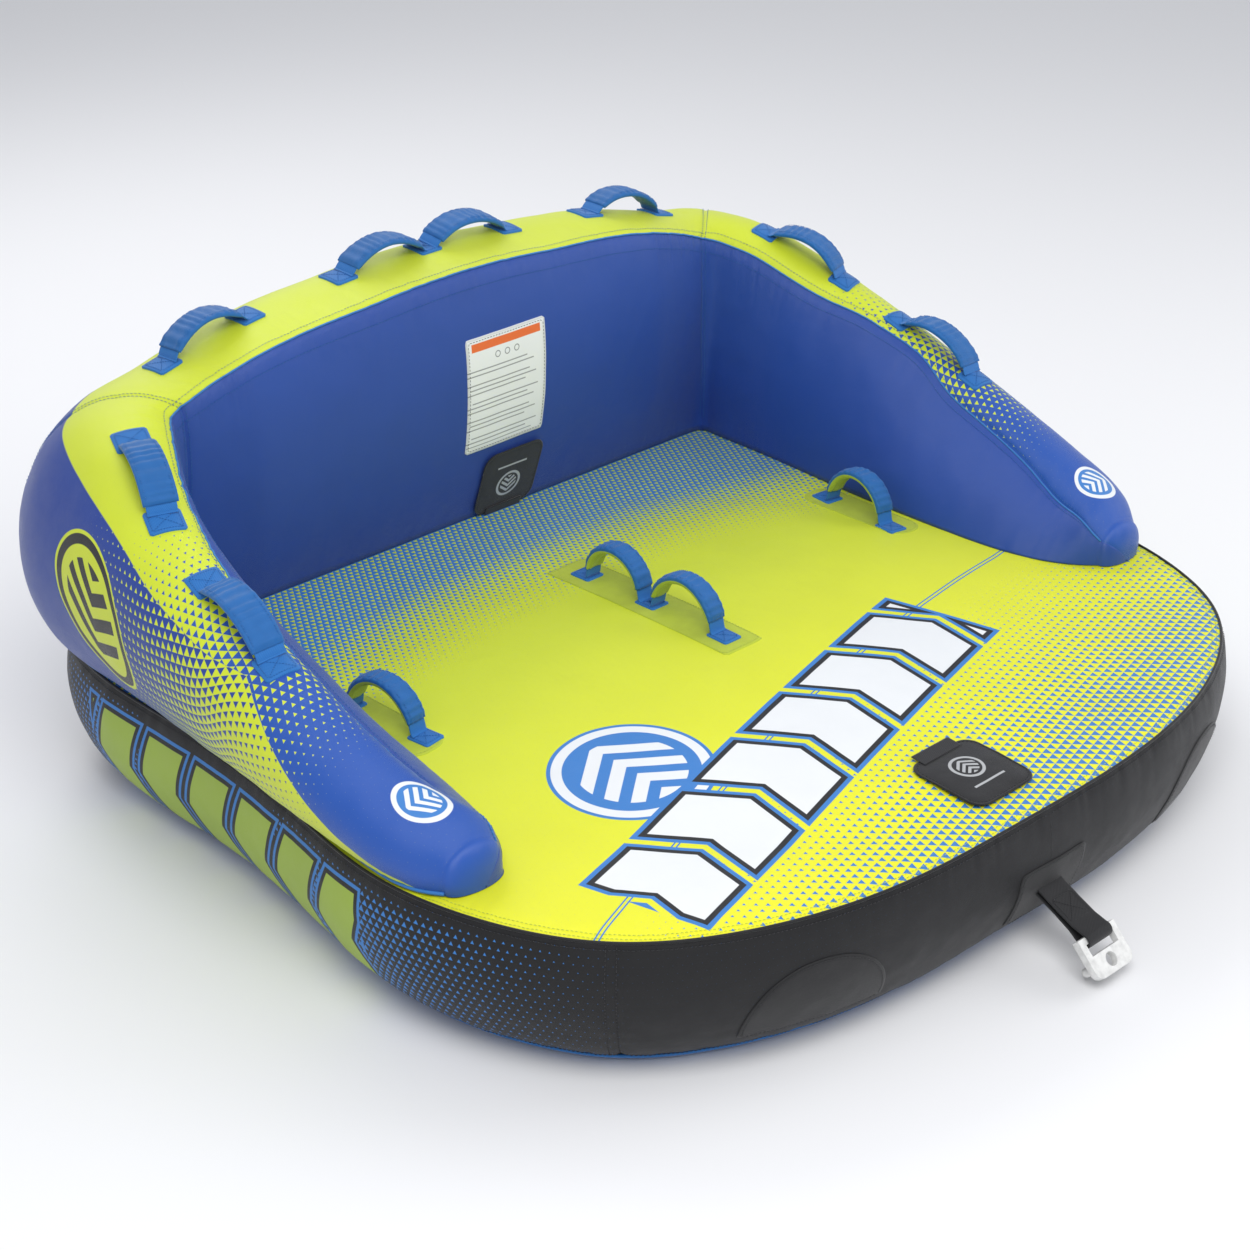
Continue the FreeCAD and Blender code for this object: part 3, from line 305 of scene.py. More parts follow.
def ring_emblem(finish, colour, x, y, centre, radius, paper, ink, rim):
    """A round generic badge: a rim, a paper ring, an ink disc and three stacked waves."""
    dx = x - centre[0]
    dy = y - centre[1]
    away = length_of(dx, dy)
    colour = finish.mix(colour, rim, away.below(radius))
    colour = finish.mix(colour, paper, away.below(radius * 0.95))
    colour = finish.mix(colour, ink, away.below(radius * 0.82))
    wave = abs((dy * (1 / (radius * 0.40)) + abs(dx) * (0.8 / (radius * 0.40))).fract() - 0.5)
    waves = wave.below(0.27, 0.02) * away.below(radius * 0.66)
    return finish.mix(colour, paper, waves)


def deck_finish():
    """Yellow-green deck with a halftone at both ends, a badge, a row of pointed bars and a thin arc."""
    finish = Finish("deck_print", roughness=0.42, sheen=0.08, specular=0.45)
    x, y = finish.uv("Print")
    warm = ((y * -1.0 + 0.1) * 1.3).held()
    colour = finish.mix(YELLOW, YELLOW_WARM, warm)
    side = (abs(x) - 0.25) * 0.45
    rear = ((y - 0.16 + side.most(0.0) * 0.45) * (1.75 / 0.36)).most(0.0)
    colour = finish.mix(colour, BLUE_LIGHT, halftone(x, y, 0.0125, rear.least(1.25)))
    arc = y - (x * 0.27 - 0.317 - x * x * 0.09)
    front = ((arc * -1.0 - 0.03) * (0.98 / 0.36)).most(0.0).least(1.0)
    turn = math.radians(15.5)
    along = x * math.cos(turn) + y * math.sin(turn)
    across = y * math.cos(turn) - x * math.sin(turn)
    colour = finish.mix(colour, BLUE_LIGHT, halftone(along, across * -1.0, 0.0165, front))
    lines = abs(abs(arc) - 0.0035).below(0.0014)
    colour = finish.mix(colour, BLUE_LIGHT, lines)
    colour = ring_emblem(finish, colour, x, y, (-0.385, -0.285), 0.128, WHITE, BLUE_LIGHT, BLUE_LIGHT)
    corner_x, corner_y, tall = -0.563, -0.53, 0.175
    start = corner_x * math.cos(turn) + corner_y * math.sin(turn) - 0.035
    low = corner_y * math.cos(turn) - corner_x * math.sin(turn) - tall / 2
    row = chevron_row(along, across - low, start, start + 0.95, tall, 0.158, 0.112, 0.42)
    colour = bars_on(finish, colour, row, ((-0.017, BLUE_LIGHT), (-0.009, BLACK), (0.0, WHITE)))
    return finish.sewn(colour, 0.06, 9.0, 0.0035)


def band_finish():
    """Black side band with slanted yellow-green bars and blue halftone on each long side."""
    finish = Finish("band_print", roughness=0.46, sheen=0.02, specular=0.35)
    along, height = finish.uv("Print")
    ahead, _ = finish.uv("Place")
    fade_front = ((ahead + 0.60) * (1.0 / 0.42)).least((ahead - 0.05) * -20.0)
    fade_rear = ((ahead - 0.72) * (-1.0 / 0.20)).least((ahead - 0.40) * 20.0)
    middle = 1.0 - abs(height - 0.115) * (1.0 / 0.125)
    cover = fade_front.most(fade_rear).least(middle * 3.0).held() * 0.92
    colour = finish.mix(BLACK, BLUE_LIGHT, halftone(along, height, 0.0135, cover))
    low = 0.030
    row = chevron_row(ahead, height - low, -0.19, 0.545, 0.175, 0.125, 0.088, 0.42)
    colour = bars_on(finish, colour, row, ((-0.014, BLUE_LIGHT), (-0.008, BLACK), (0.0, GREEN_DULL)))
    return finish.sewn(colour, 0.10, 14.0, 0.002)


def rim_finish(badge_at):
    """Blue and yellow-green rim: a yellow crown that breaks into triangles and ends in blue noses.

    badge_at is how far the badges on the arms lie from the middle of the back rest, along the rim.
    """
    finish = Finish("rim_print", roughness=0.40, sheen=0.10, specular=0.5)
    along, around = finish.uv("Print")
    ahead, share = finish.uv("Place")
    top = ((0.36 - ahead) * (2.0 / 0.52)).most(0.0).least(2.0)
    low = ((ahead - 0.44) * (-2.0 / 0.62)).most(0.0).least(2.0)
    top_print = finish.mix(YELLOW, BLUE, halftone(around, along, 0.0150, top))
    low_print = finish.mix(BLUE_DEEP, YELLOW, halftone(around, along, 0.0150, low))
    line = share - 0.31 - ((0.05 - ahead).most(0.0) * 1.9)
    colour = finish.mix(top_print, low_print, line.above(0.0, 0.004))
    colour = ring_emblem(finish, colour, ahead, around, (-0.262, 0.080), 0.040, WHITE, BLUE_LIGHT, WHITE)
    colour = ring_emblem(finish, colour, abs(along), around, (badge_at, 0.300), 0.105, BLACK, YELLOW, YELLOW)
    return finish.sewn(colour, 0.07, 11.0, 0.003)


def inner_finish():
    """Plain royal blue panel with painted shade: a little darker towards the deck, where the panel tucks
    under, and lighter above.
    """
    finish = Finish("inner_blue", roughness=0.38, sheen=0.12, specular=0.5)
    _, down = finish.uv("Print")
    # painted shade: the blue deepens to BLUE_DEEP towards the deck, standing in for the shadow where the
    # panel tucks under
    colour = finish.mix(BLUE_DEEP, (0.012, 0.062, 0.33), (down * 3.0 + 1.2).held())
    return finish.sewn(colour, 0.10, 7.0, 0.004)


def cloth_finish(name, colour, roughness=0.6, thread=0.0016, depth=0.0002, sheen=0.15):
    """Woven cloth of one colour."""
    finish = Finish(name, roughness=roughness, sheen=sheen, specular=0.35)
    finish.colour(finish.mix(colour, tuple(value * 0.82 for value in colour), finish.cloud(60.0)), 0.12)
    finish.weave("Print", thread, depth)
    finish.creases(30.0, 0.0012)
    return finish.material


def webbing_finish(name, colour, edge):
    """Webbing: ribs across the strap and paler edges."""
    finish = Finish(name, roughness=0.62, sheen=0.2, specular=0.3)
    along, across = finish.uv("Print")
    ribs = (along * (2 * math.pi / 0.0022)).math("SINE")
    twill = ((along + across) * (2 * math.pi / 0.0034)).math("SINE")
    finish.colour(finish.mix(colour, edge, (twill * 0.18 + 0.3).held()), 0.1)
    finish.bump(ribs * 0.5 + twill * 0.5, 0.0003, 0.6)
    return finish.material


def solid_finish(name, colour, roughness, metal=0.0, coat=0.0, scratch=0.0006):
    """Moulded plastic or metal with faint wear."""
    finish = Finish(name, roughness=roughness, metal=metal, coat=coat)
    worn = finish.cloud(90.0, 6.0)
    finish.colour(finish.mix(colour, tuple(value * 0.8 for value in colour), worn.above(0.55, 0.3)), 0.06)
    finish.bump(worn, scratch, 0.35)
    return finish.material


def label_finish():
    """White cloth label: an orange header and grey rules that stand for text lines."""
    finish = Finish("label_print", roughness=0.55, sheen=0.1, specular=0.3)
    x, y = finish.uv("Print")
    colour = finish.mix(WHITE, ORANGE, y.between(0.192, 0.207) * x.between(0.012, 0.171))
    rows = ((y * (1 / 0.0085)).fract() - 0.5)
    ragged = ((y * (1 / 0.0085)).floor() * 0.377).fract() * 0.04
    lines = abs(rows).below(0.14, 0.05) * y.between(0.012, 0.160) * (x + ragged).between(0.016, 0.170)
    groups = ((y * (1 / 0.034)).fract()).above(0.22, 0.02)
    colour = finish.mix(colour, GREY, lines * groups * 0.75)
    for spot in (0.070, 0.092, 0.114):
        away = length_of(x - spot, y - 0.177)
        colour = finish.mix(colour, GREY, away.between(0.0045, 0.0062) * 0.9)
    edge = x.between(0.004, 0.179) * y.between(0.004, 0.213)
    colour = finish.mix(colour, GREY, (1.0 - edge) * 0.25)
    finish.colour(colour, 0.03)
    finish.weave("Print", 0.0012, 0.0001)
    return finish.material


# ------------------------------------------------------------------ mesh helpers
def cad_mesh(node):
    """The mesh of a CAD node, to read only."""
    return frame["nodes"][node].data


def cad_copy(node):
    """A CAD node's mesh with its doubled corners joined, free to edit."""
    mesh = bmesh.new()
    mesh.from_mesh(cad_mesh(node))
    bmesh.ops.remove_doubles(mesh, verts=mesh.verts, dist=1e-6)
    return mesh


def linked(name, mesh, material):
    """An object in the scene, made from an edited mesh."""
    data = bpy.data.meshes.new(name)
    mesh.to_mesh(data)
    mesh.free()
    item = bpy.data.objects.new(name, data)
    bpy.context.scene.collection.objects.link(item)
    data.materials.append(material)
    return item


def tree_of(*meshes, flip=1.0):
    """One ray-casting tree over some meshes; flip -1 mirrors them across the mid-plane."""
    points, faces = [], []
    for mesh in meshes:
        start = len(points)
        points += [Vector((flip * vertex.co.x, vertex.co.y, vertex.co.z)) for vertex in mesh.vertices]
        faces += [[start + index for index in face.vertices] for face in mesh.polygons]
    return BVHTree.FromPolygons(points, faces)


def piece(name, points, faces, material, body="root", uvs=None, smooth=True):
    """A mesh object. uvs maps a layer's name to one pair per vertex."""
    mesh = bpy.data.meshes.new(name)
    mesh.from_pydata([tuple(point) for point in points], [], [tuple(face) for face in faces])
    for layer, pairs in (uvs or {}).items():
        pairs = np.asarray(pairs, dtype=np.float32)
        index = np.zeros(len(mesh.loops), dtype=np.int32)
        mesh.loops.foreach_get("vertex_index", index)
        mesh.uv_layers.new(name=layer).data.foreach_set("uv", pairs[index].ravel())
    mesh.polygons.foreach_set("use_smooth", [smooth] * len(mesh.polygons))
    item = bpy.data.objects.new(name, mesh)
    bpy.context.scene.collection.objects.link(item)
    for entry in material if isinstance(material, list) else [material]:
        mesh.materials.append(entry)
    if body:
        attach(item, body)
    return item


def grid_faces(rows, columns):
    """Quads of a grid whose columns wrap round."""
    faces = []
    for row in range(rows - 1):
        for column in range(columns):
            after = (column + 1) % columns
            faces.append((
                row * columns + column, row * columns + after,
                (row + 1) * columns + after, (row + 1) * columns + column,
            ))
    return faces


def sheet(name, rows, material, body="root", flip=False, **uvs):
    """A grid of points, rows x columns x 3, as one piece; uvs are grids of pairs by layer."""
    rows = np.asarray(rows)
    faces = grid_faces(len(rows), rows.shape[1])
    if flip:
        faces = [face[::-1] for face in faces]
    layers = {layer: np.asarray(pairs).reshape(-1, 2) for layer, pairs in uvs.items()}
    return piece(name, rows.reshape(-1, 3), faces, material, body, layers)


def lengths(line):
    """Running length along rows of points."""
    steps = np.linalg.norm(np.diff(line, axis=0), axis=1)
    return np.concatenate([[0.0], np.cumsum(steps)])


def at_places(line, at, wanted):
    """Rows of a line interpolated at some running lengths."""
    return np.stack([np.interp(wanted, at, line[:, axis]) for axis in range(line.shape[1])], axis=1)


def even(line, count):
    """The same line with evenly spaced points."""
    at = lengths(line)
    return at_places(line, at, np.linspace(0, at[-1], count))


def lifted(line, normal, height):
    """A line raised off a surface and its normals, as stitches() takes them."""
    return line + normal * height, normal


def smoothed(values, spread, closed=False):
    """Gaussian smoothing along the first axis."""
    reach = int(3 * spread) + 1
    kernel = np.exp(-0.5 * (np.arange(-reach, reach + 1) / spread) ** 2)
    kernel /= kernel.sum()
    flat = values.reshape(len(values), -1)
    if closed:
        padded = np.concatenate([flat[-reach:], flat, flat[:reach]])
    else:
        start = 2 * flat[:1] - flat[reach:0:-1]
        stop = 2 * flat[-1:] - flat[-2:-reach - 2:-1]
        padded = np.concatenate([start, flat, stop])
    columns = [np.convolve(column, kernel, mode="valid") for column in padded.T]
    return np.stack(columns, 1).reshape(values.shape)


def noise_at(points, scale, seed=0.0):
    """Smooth noise between about -1 and 1 at each point."""
    return np.array([
        noise.noise((point[0] * scale + seed, point[1] * scale - seed, point[2] * scale)) for point in points
    ])


def normals_of(points):
    """Unit normals of a grid of points, rows x columns x 3, whose columns wrap round."""
    down = np.gradient(points, axis=0)
    across = (np.roll(points, -1, axis=1) - np.roll(points, 1, axis=1)) / 2
    normal = np.cross(down, across)
    size = np.linalg.norm(normal, axis=2, keepdims=True)
    return normal / np.maximum(size, 1e-12)


def tube(name, line, radius, material, closed=False):
    """A round piping along a line of points."""
    sides = 8
    count = len(line)
    ahead = np.roll(line, -1, axis=0) - np.roll(line, 1, axis=0) if closed else np.gradient(line, axis=0)
    ahead /= np.linalg.norm(ahead, axis=1, keepdims=True)
    side = np.cross(ahead, np.array([0.0, 0.0, 1.0]))
    side /= np.maximum(np.linalg.norm(side, axis=1, keepdims=True), 1e-9)
    lift = np.cross(side, ahead)
    turns = np.linspace(0, 2 * math.pi, sides, endpoint=False)
    rings = line[:, None, :] + radius * (
        np.cos(turns)[None, :, None] * side[:, None, :] + np.sin(turns)[None, :, None] * lift[:, None, :]
    )
    faces = grid_faces(count, sides)
    if closed:
        faces += [
            ((count - 1) * sides + k, (count - 1) * sides + (k + 1) % sides, (k + 1) % sides, k)
            for k in range(sides)
        ]
    else:
        faces += [tuple(range(sides))[::-1], tuple((count - 1) * sides + k for k in range(sides))]
    run = np.repeat(lengths(line)[:, None], sides, axis=1)
    around = np.repeat((turns * radius)[None, :], count, axis=0)
    uv = np.stack([run, around], axis=2).reshape(-1, 2)
    return piece(name, rings.reshape(-1, 3), faces, material, "root", {"Print": uv})


def stitches(name, lines, material, body="root", pitch=0.0065, length=0.0042, radius=0.00055):
    """Short raised threads along lines of (point, normal) rows; each line is two arrays."""
    points, faces = [], []
    for line, normal in lines:
        at = lengths(line)
        for start in np.arange(pitch / 2, at[-1] - length, pitch):
            ends = at_places(line, at, (start, start + length / 2, start + length))
            out = at_places(normal, at, (start,))[0]
            out /= max(np.linalg.norm(out), 1e-9)
            ends[1] += out * radius * 1.2
            ahead = ends[2] - ends[0]
            ahead /= max(np.linalg.norm(ahead), 1e-9)
            side = np.cross(ahead, out)
            first = len(points)
            for centre, size in zip(ends, (0.6, 1.0, 0.6)):
                for along_out, along_side in ((1, 0), (0, 1), (-1, 0), (0, -1)):
                    points.append(centre + radius * size * (along_out * out + along_side * side))
            for ring in (0, 4):
                for k in range(4):
                    after = (k + 1) % 4
                    faces.append((first + ring + k, first + ring + after,
                                  first + ring + 4 + after, first + ring + 4 + k))
            faces.append((first, first + 3, first + 2, first + 1))
            faces.append((first + 8, first + 9, first + 10, first + 11))
    return piece(name, points, faces, material, body, {"Print": np.zeros((len(points), 2))})


# ------------------------------------------------------------------ the rim's rings
ARM_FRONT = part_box("arm_cover_left")[0].y
CORNER = np.array([0.45, 0.40])
INNER_STEPS, SKIN_STEPS, FLOOR_STEPS = 30, 74, 8


def ring_stations():
    """Plan planes across the +X half of the rim, from its nose to the middle of the back rest."""
    arm = [((0.60, y), 0.0) for y in np.linspace(ARM_FRONT + 0.0015, CORNER[1], 58)]
    fan = [((CORNER[0], CORNER[1]), turn) for turn in np.linspace(0, math.pi / 2, 46)[1:-1]]
    back = [((x, 0.55), math.pi / 2) for x in np.linspace(CORNER[0], 0.0, 32)]
    return arm + fan + back


def ring_at(tree, base, turn):
    """Outer line of the rim's section in one plane: inner panel, skin and underside point rows."""
    facing = np.array([math.cos(turn), math.sin(turn), 0.0])
    up = np.array([0.0, 0.0, 1.0])
    base = np.array([base[0], base[1], 0.0])

    def first_hit(origin, direction):
        hit = tree.ray_cast(Vector(origin), Vector(direction))[0]
        return None if hit is None else np.array(hit)

    level = RIM_LOW + 0.001
    inner_low = first_hit(base - facing * 0.35 + up * level, facing)
    outer_low = first_hit(base + facing * FAR + up * level, -facing)
    inner_low[2] = outer_low[2] = RIM_LOW
    middle = (inner_low + outer_low) / 2
    roof = first_hit(middle + up * 0.9, -up)[2]
    centre = middle + up * (roof - RIM_LOW) * 0.42
    start = math.atan2(RIM_LOW - centre[2], float((inner_low - centre) @ facing))
    stop = math.atan2(RIM_LOW - centre[2], float((outer_low - centre) @ facing))
    if start < 0:
        start += 2 * math.pi
    line = [inner_low]
    for angle in np.linspace(start, stop, 300)[1:-1]:
        ray = facing * math.cos(angle) + up * math.sin(angle)
        reach = 0.34 if math.cos(angle) < 0 else FAR
        hit = first_hit(centre + ray * reach, -ray)
        if hit is not None:
            line.append(hit)
    line.append(outer_low)
    return even(np.array(line), 320)


def seam_index(line):
    """Where the section turns most sharply, between the inner panel and the crown."""
    step = 5
    high = line[:, 2].max()
    best, found = -1.0, 0
    for index in range(24, len(line) // 2 + 40):
        before = line[index] - line[index - step]
        after = line[index + step] - line[index]
        turn = 1 - before @ after / (np.linalg.norm(before) * np.linalg.norm(after) + 1e-12)
        weight = turn if line[index][2] > RIM_LOW + 0.45 * (high - RIM_LOW) else 0
        if weight > best:
            best, found = weight, index
    return found


def rim_rings():
    """Rings of the whole rim from nose to nose, at an even spacing: points and seam column."""
    tree = tree_of(cad_mesh("arm_cover_right"), cad_mesh("back_cover"), flip=-1.0)
    found = [ring_at(tree, *station) for station in ring_stations()]
    share = np.array([seam_index(line) / (len(line) - 1) for line in found])
    share = smoothed(share[:, None], 2.0)[:, 0]
    rows = []
    for line, part in zip(found, share):
        at = lengths(line)
        cut = at[-1] * part
        inner = np.linspace(0, cut, INNER_STEPS + 1)
        skin = np.linspace(cut, at[-1], SKIN_STEPS + 1)[1:]
        ring = at_places(line, at, np.concatenate([inner, skin]))
        under = ring[-1] + (ring[0] - ring[-1]) * np.linspace(0, 1, FLOOR_STEPS + 2)[1:-1, None]
        rows.append(np.concatenate([ring, under]))
    rows = smoothed(np.array(rows), 1.3)
    rows[-1, :, 0] = 0.0
    left = rows[:-1][::-1] * np.array([-1.0, 1.0, 1.0])
    whole = np.concatenate([rows, left])
    path = lengths(whole[:, INNER_STEPS + SKIN_STEPS // 3])
    count = int(path[-1] / 0.0065)
    wanted = np.linspace(0, path[-1], count)
    flat = whole.reshape(len(whole), -1)
    fine = smoothed(at_places(flat, path, wanted), 2.0).reshape(count, -1, 3)
    return fine, wanted - path[-1] / 2


def nose_rows(ring, direction):
    """Rows that close a nose: the ring shrinks to its middle and down to its foot while it swells forward."""
    middle = ring.mean(axis=0)
    rows = []
    for step in np.linspace(0, 1, 13)[1:]:
        shrink = max(math.cos(step * math.pi / 2), 0.02)
        row = middle + (ring - middle) * shrink + direction * math.sin(step * math.pi / 2) * 0.026
        row[:, 2] = RIM_LOW + (ring[:, 2] - RIM_LOW) * shrink ** 0.7
        rows.append(row)
    return rows


# ------------------------------------------------------------------ the rim's covers
def outward(points, normal):
    """Flip normals that point at the section's middle."""
    middle = points.mean(axis=1, keepdims=True)
    facing = ((points - middle) * normal).sum(axis=2, keepdims=True)
    return np.where(facing.mean() < 0, -normal, normal)


def ridge(at, pitch, seed):
    """Uneven puckers along a seam, from 0 to 1."""
    return np.array([
        abs(noise.noise((value / pitch, seed, 0.3))) * 1.2
        + 0.6 * abs(noise.noise((value / pitch * 2.3, seed, 5.1)))
        for value in at
    ])


def shaped_rim():
    """The rim's grid with seam grooves, puckers and slack in the cloth; also its print coordinates."""
    fine, path = rim_rings()
    rows, columns, _ = fine.shape
    mitre_row = int(np.argmax(fine[: rows // 2, 0, 0] + fine[: rows // 2, 0, 1]))
    at_mitre = path[mitre_row]
    steps = np.linalg.norm(np.diff(fine, axis=1), axis=2)
    around = np.concatenate([np.zeros((rows, 1)), np.cumsum(steps, axis=1)], axis=1)
    around -= around[:, INNER_STEPS][:, None]
    normal = outward(fine, normals_of(fine))
    from_seam = np.abs(around)
    from_mitre = np.minimum(np.abs(path - at_mitre), np.abs(path + at_mitre))[:, None]
    pucker = ridge(path, 0.016, 1.7)[:, None]
    along_mitre = ridge(around[mitre_row], 0.02, 9.0)[None, :]
    push = -0.0030 * np.exp(-from_seam / 0.006) - 0.0034 * pucker * np.exp(-from_seam / 0.034)
    push = push - 0.0026 * np.exp(-from_mitre / 0.006)
    push = push - 0.0022 * along_mitre * np.exp(-from_mitre / 0.030)
    flat = fine.reshape(-1, 3)
    slack = noise_at(flat, 6.0).reshape(rows, columns) * 0.0024
    small = noise_at(flat, 21.0, 3.0).reshape(rows, columns) * 0.0009
    base_line = around[:, INNER_STEPS + SKIN_STEPS][:, None] - around
    foot = np.exp(-np.abs(base_line) / 0.03) + np.exp(-np.abs(around - around[:, :1]) / 0.03)
    push = push + slack + small - 0.0016 * pucker * foot
    under = np.arange(columns) > INNER_STEPS + SKIN_STEPS
    push[:, under] = 0.0
    push[:, 0] = 0.0
    push[:, INNER_STEPS + SKIN_STEPS] = 0.0
    fine = fine + normal * push[:, :, None]
    share = np.clip(around / around[:, INNER_STEPS + SKIN_STEPS][:, None], -1, 1)
    return fine, path, around, share, mitre_row


def rim_piece(name, node, rows_used, grid, finishes, cap=None):
    """One sewn cover of the rim, cut from the rim's grid between two rows.

    cap is -1 for a nose before the first row, 1 for one after the last.
    """
    fine, path, around, share = grid
    low, high = rows_used
    points = fine[low:high + 1]
    print_uv = np.stack([np.repeat(path[low:high + 1, None], fine.shape[1], 1), around[low:high + 1]], 2)
    place_uv = np.stack([points[:, :, 1], share[low:high + 1]], 2)
    if cap is not None:
        end = 0 if cap < 0 else -1
        extra = np.array(nose_rows(points[end], FORWARD))
        more_print = np.repeat(print_uv[end][None], len(extra), 0)
        more_place = np.repeat(place_uv[end][None], len(extra), 0)
        more_place[:, :, 0] -= np.linspace(0, 0.05, len(extra))[:, None]
        points, print_uv, place_uv = (
            np.concatenate([more[::-1], main] if cap < 0 else [main, more])
            for more, main in ((extra, points), (more_print, print_uv), (more_place, place_uv))
        )
    item = sheet(name, points, finishes, flip=True, Print=print_uv, Place=place_uv)
    for index, face in enumerate(item.data.polygons):
        face.material_index = 0 if index % points.shape[1] < INNER_STEPS else 1
    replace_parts(item, node)
    return item


def make_rim(seam_thread, piping):
    """Arm and back covers with their seams; returns the three skins and the shaped grid."""
    fine, path, around, share, mitre_row = shaped_rim()
    arm = fine[:mitre_row, INNER_STEPS + SKIN_STEPS // 2, 1]
    finishes = [inner_finish(), rim_finish(abs(float(np.interp(0.40, arm, path[:mitre_row]))))]
    last = len(fine) - 1
    grid = (fine, path, around, share)
    other = last - mitre_row
    made = [
        rim_piece("arm_skin_left", "arm_cover_left", (0, mitre_row), grid, finishes, cap=-1),
        rim_piece("back_skin", "back_cover", (mitre_row, other), grid, finishes),
        rim_piece("arm_skin_right", "arm_cover_right", (other, last), grid, finishes, cap=1),
    ]
    seam = fine[:, INNER_STEPS]
    normal = outward(fine, normals_of(fine))
    beside = (INNER_STEPS - 2, INNER_STEPS + 2)
    sewn = [lifted(fine[:, column], normal[:, column], RIM_THREAD_LIFT) for column in beside]
    stitches("rim_seam_stitches", sewn, seam_thread)
    tube_line = seam + normal[:, INNER_STEPS] * 0.0012
    tube("rim_seam_piping", tube_line, 0.0017, piping)
    foot = fine[:, INNER_STEPS + SKIN_STEPS].copy()
    foot[:, 2] = RIM_LOW + 0.0028
    tube("rim_foot_piping", foot, 0.0032, piping)
    for side, row in (("left", mitre_row), ("right", other)):
        ring = slice(2, INNER_STEPS + SKIN_STEPS - 1)
        lines = [lifted(fine[near, ring], normal[near, ring], RIM_THREAD_LIFT) for near in (row - 1, row + 1)]
        stitches(f"mitre_stitches_{side}", lines, seam_thread)
    return made, fine


# ------------------------------------------------------------------ the base's covers
TURNS = 760
DECK_RINGS = 112
BAND_ROWS = 26
BAND_SEAMS = ((-0.690, -0.575), (0.690, -0.575), (-0.700, 0.722), (0.700, 0.722))


def outline_at(tree, height):
    """Outline of a CAD cover at a height: points at even turns about the middle, from the front."""
    line = []
    for turn in np.linspace(-math.pi / 2, 1.5 * math.pi, TURNS, endpoint=False):
        ray = Vector((math.cos(turn), math.sin(turn), 0))
        hit = tree.ray_cast(ray * 1.5 + UP * height, -ray)[0]
        line.append(tuple(hit))
    return np.array(line)


def column_near(rows, x, y):
    """The column of a grid whose first row passes nearest a plan position."""
    return int(np.argmin(np.hypot(rows[0, :, 0] - x, rows[0, :, 1] - y)))


def make_band(finish, thread):
    """Side band with seam grooves and puckers; returns its lowest row and the skin."""
    tree = tree_of(cad_mesh("side_band"))
    levels = np.linspace(BAND_LOW + 0.0008, BAND_HIGH - 0.0008, BAND_ROWS)
    rows = np.array([outline_at(tree, level) for level in levels])
    rows = smoothed(rows.transpose(1, 0, 2), 1.6, closed=True).transpose(1, 0, 2)
    normal = normals_of(rows)
    middle = np.array([0.0, 0.0, 0.13])
    if ((rows - middle) * normal).sum() < 0:
        normal = -normal
    run = lengths(np.concatenate([rows[BAND_ROWS // 2], rows[BAND_ROWS // 2][:1]]))[:-1]
    pucker_low, pucker_high = ridge(run, 0.017, 4.0)[None, :], ridge(run, 0.020, 8.0)[None, :]
    height = levels[:, None]
    push = -0.0030 * pucker_low * np.exp(-(height - BAND_LOW) / 0.022)
    push = push - 0.0030 * pucker_high * np.exp(-(BAND_HIGH - height) / 0.026)
    flat = rows.reshape(-1, 3)
    push = push + noise_at(flat * np.array([1, 1, 0.5]), 9.0).reshape(push.shape) * 0.0022
    push = push + noise_at(flat, 26.0, 2.0).reshape(push.shape) * 0.0008
    for x, y in BAND_SEAMS:
        index = column_near(rows, x, y)
        away = np.abs(run - run[index])[None, :]
        push = push - 0.0030 * np.exp(-away / 0.005)
        push = push - 0.0016 * np.exp(-away / 0.03) * np.abs(np.sin(height * 190.0))
    rows = rows + normal * push[:, :, None]
    uv_print = np.stack([np.repeat(run[None, :], BAND_ROWS, 0), np.repeat(height, TURNS, 1)], 2)
    uv_place = np.stack([rows[:, :, 1], rows[:, :, 0]], 2)
    item = sheet("band_skin", rows, finish, Print=uv_print, Place=uv_place)
    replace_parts(item, "side_band")
    lines = [lifted(rows[row], normal[row], THREAD_LIFT) for row in (1, BAND_ROWS - 2)]
    for x, y in BAND_SEAMS:
        index = column_near(rows, x, y)
        for column in (index - 1, index + 1):
            lines.append(lifted(rows[:, column], normal[:, column], THREAD_LIFT))
    stitches("band_stitches", lines, thread)
    return rows[0], item


def make_bottom(finish, piping, band_low_row):
    """Bottom panel: rolls under from the band's lower seam and lies flat on the ground."""
    edge = band_low_row.copy()
    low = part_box("bottom_panel")[0].z
    reach = np.linalg.norm(edge[:, :2], axis=1)
    rows = []
    for inward, height in (
        (0.0, BAND_LOW - 0.001), (0.008, 0.0075), (0.018, 0.0030), (0.032, 0.0009), (0.045, 0.0004),
    ):
        ring = edge.copy()
        ring[:, :2] *= ((reach - inward) / reach)[:, None]
        ring[:, 2] = low + height
        rows.append(ring)
    for share in np.linspace(1.0, 0.0, 26)[1:]:
        ring = rows[4].copy()
        ring[:, :2] *= share
        ring[:, 2] = low + 0.0006
        rows.append(ring)
    rows = np.array(rows)
    item = sheet("bottom_skin", rows, finish, flip=True, Print=rows[:, :, :2])
    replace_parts(item, "bottom_panel")
    seam = rows[0].copy()
    seam[:, 2] = BAND_LOW - 0.0004
    seam = smoothed(seam, 2, closed=True)
    tube("bottom_piping", seam, 0.0028, piping, closed=True)


def flap_frame(name):
    """Hinge point, leaf direction and outward normal of a valve's flap."""
    joint = JOINTS[f"{name}_flap_hinge"]
    hinge = Vector(joint["pos_m"])
    axis = Vector(joint["axis"]).normalized()
    out = -Vector(JOINTS[f"{name}_stem_press"]["axis"]).normalized()
    leaf = out.cross(axis).normalized()
    return hinge, leaf, out


def valve_spot(name):
    """Middle of a valve, on the cover's outer face."""
    return Vector(JOINTS[f"{name}_cap_spin"]["pos_m"])


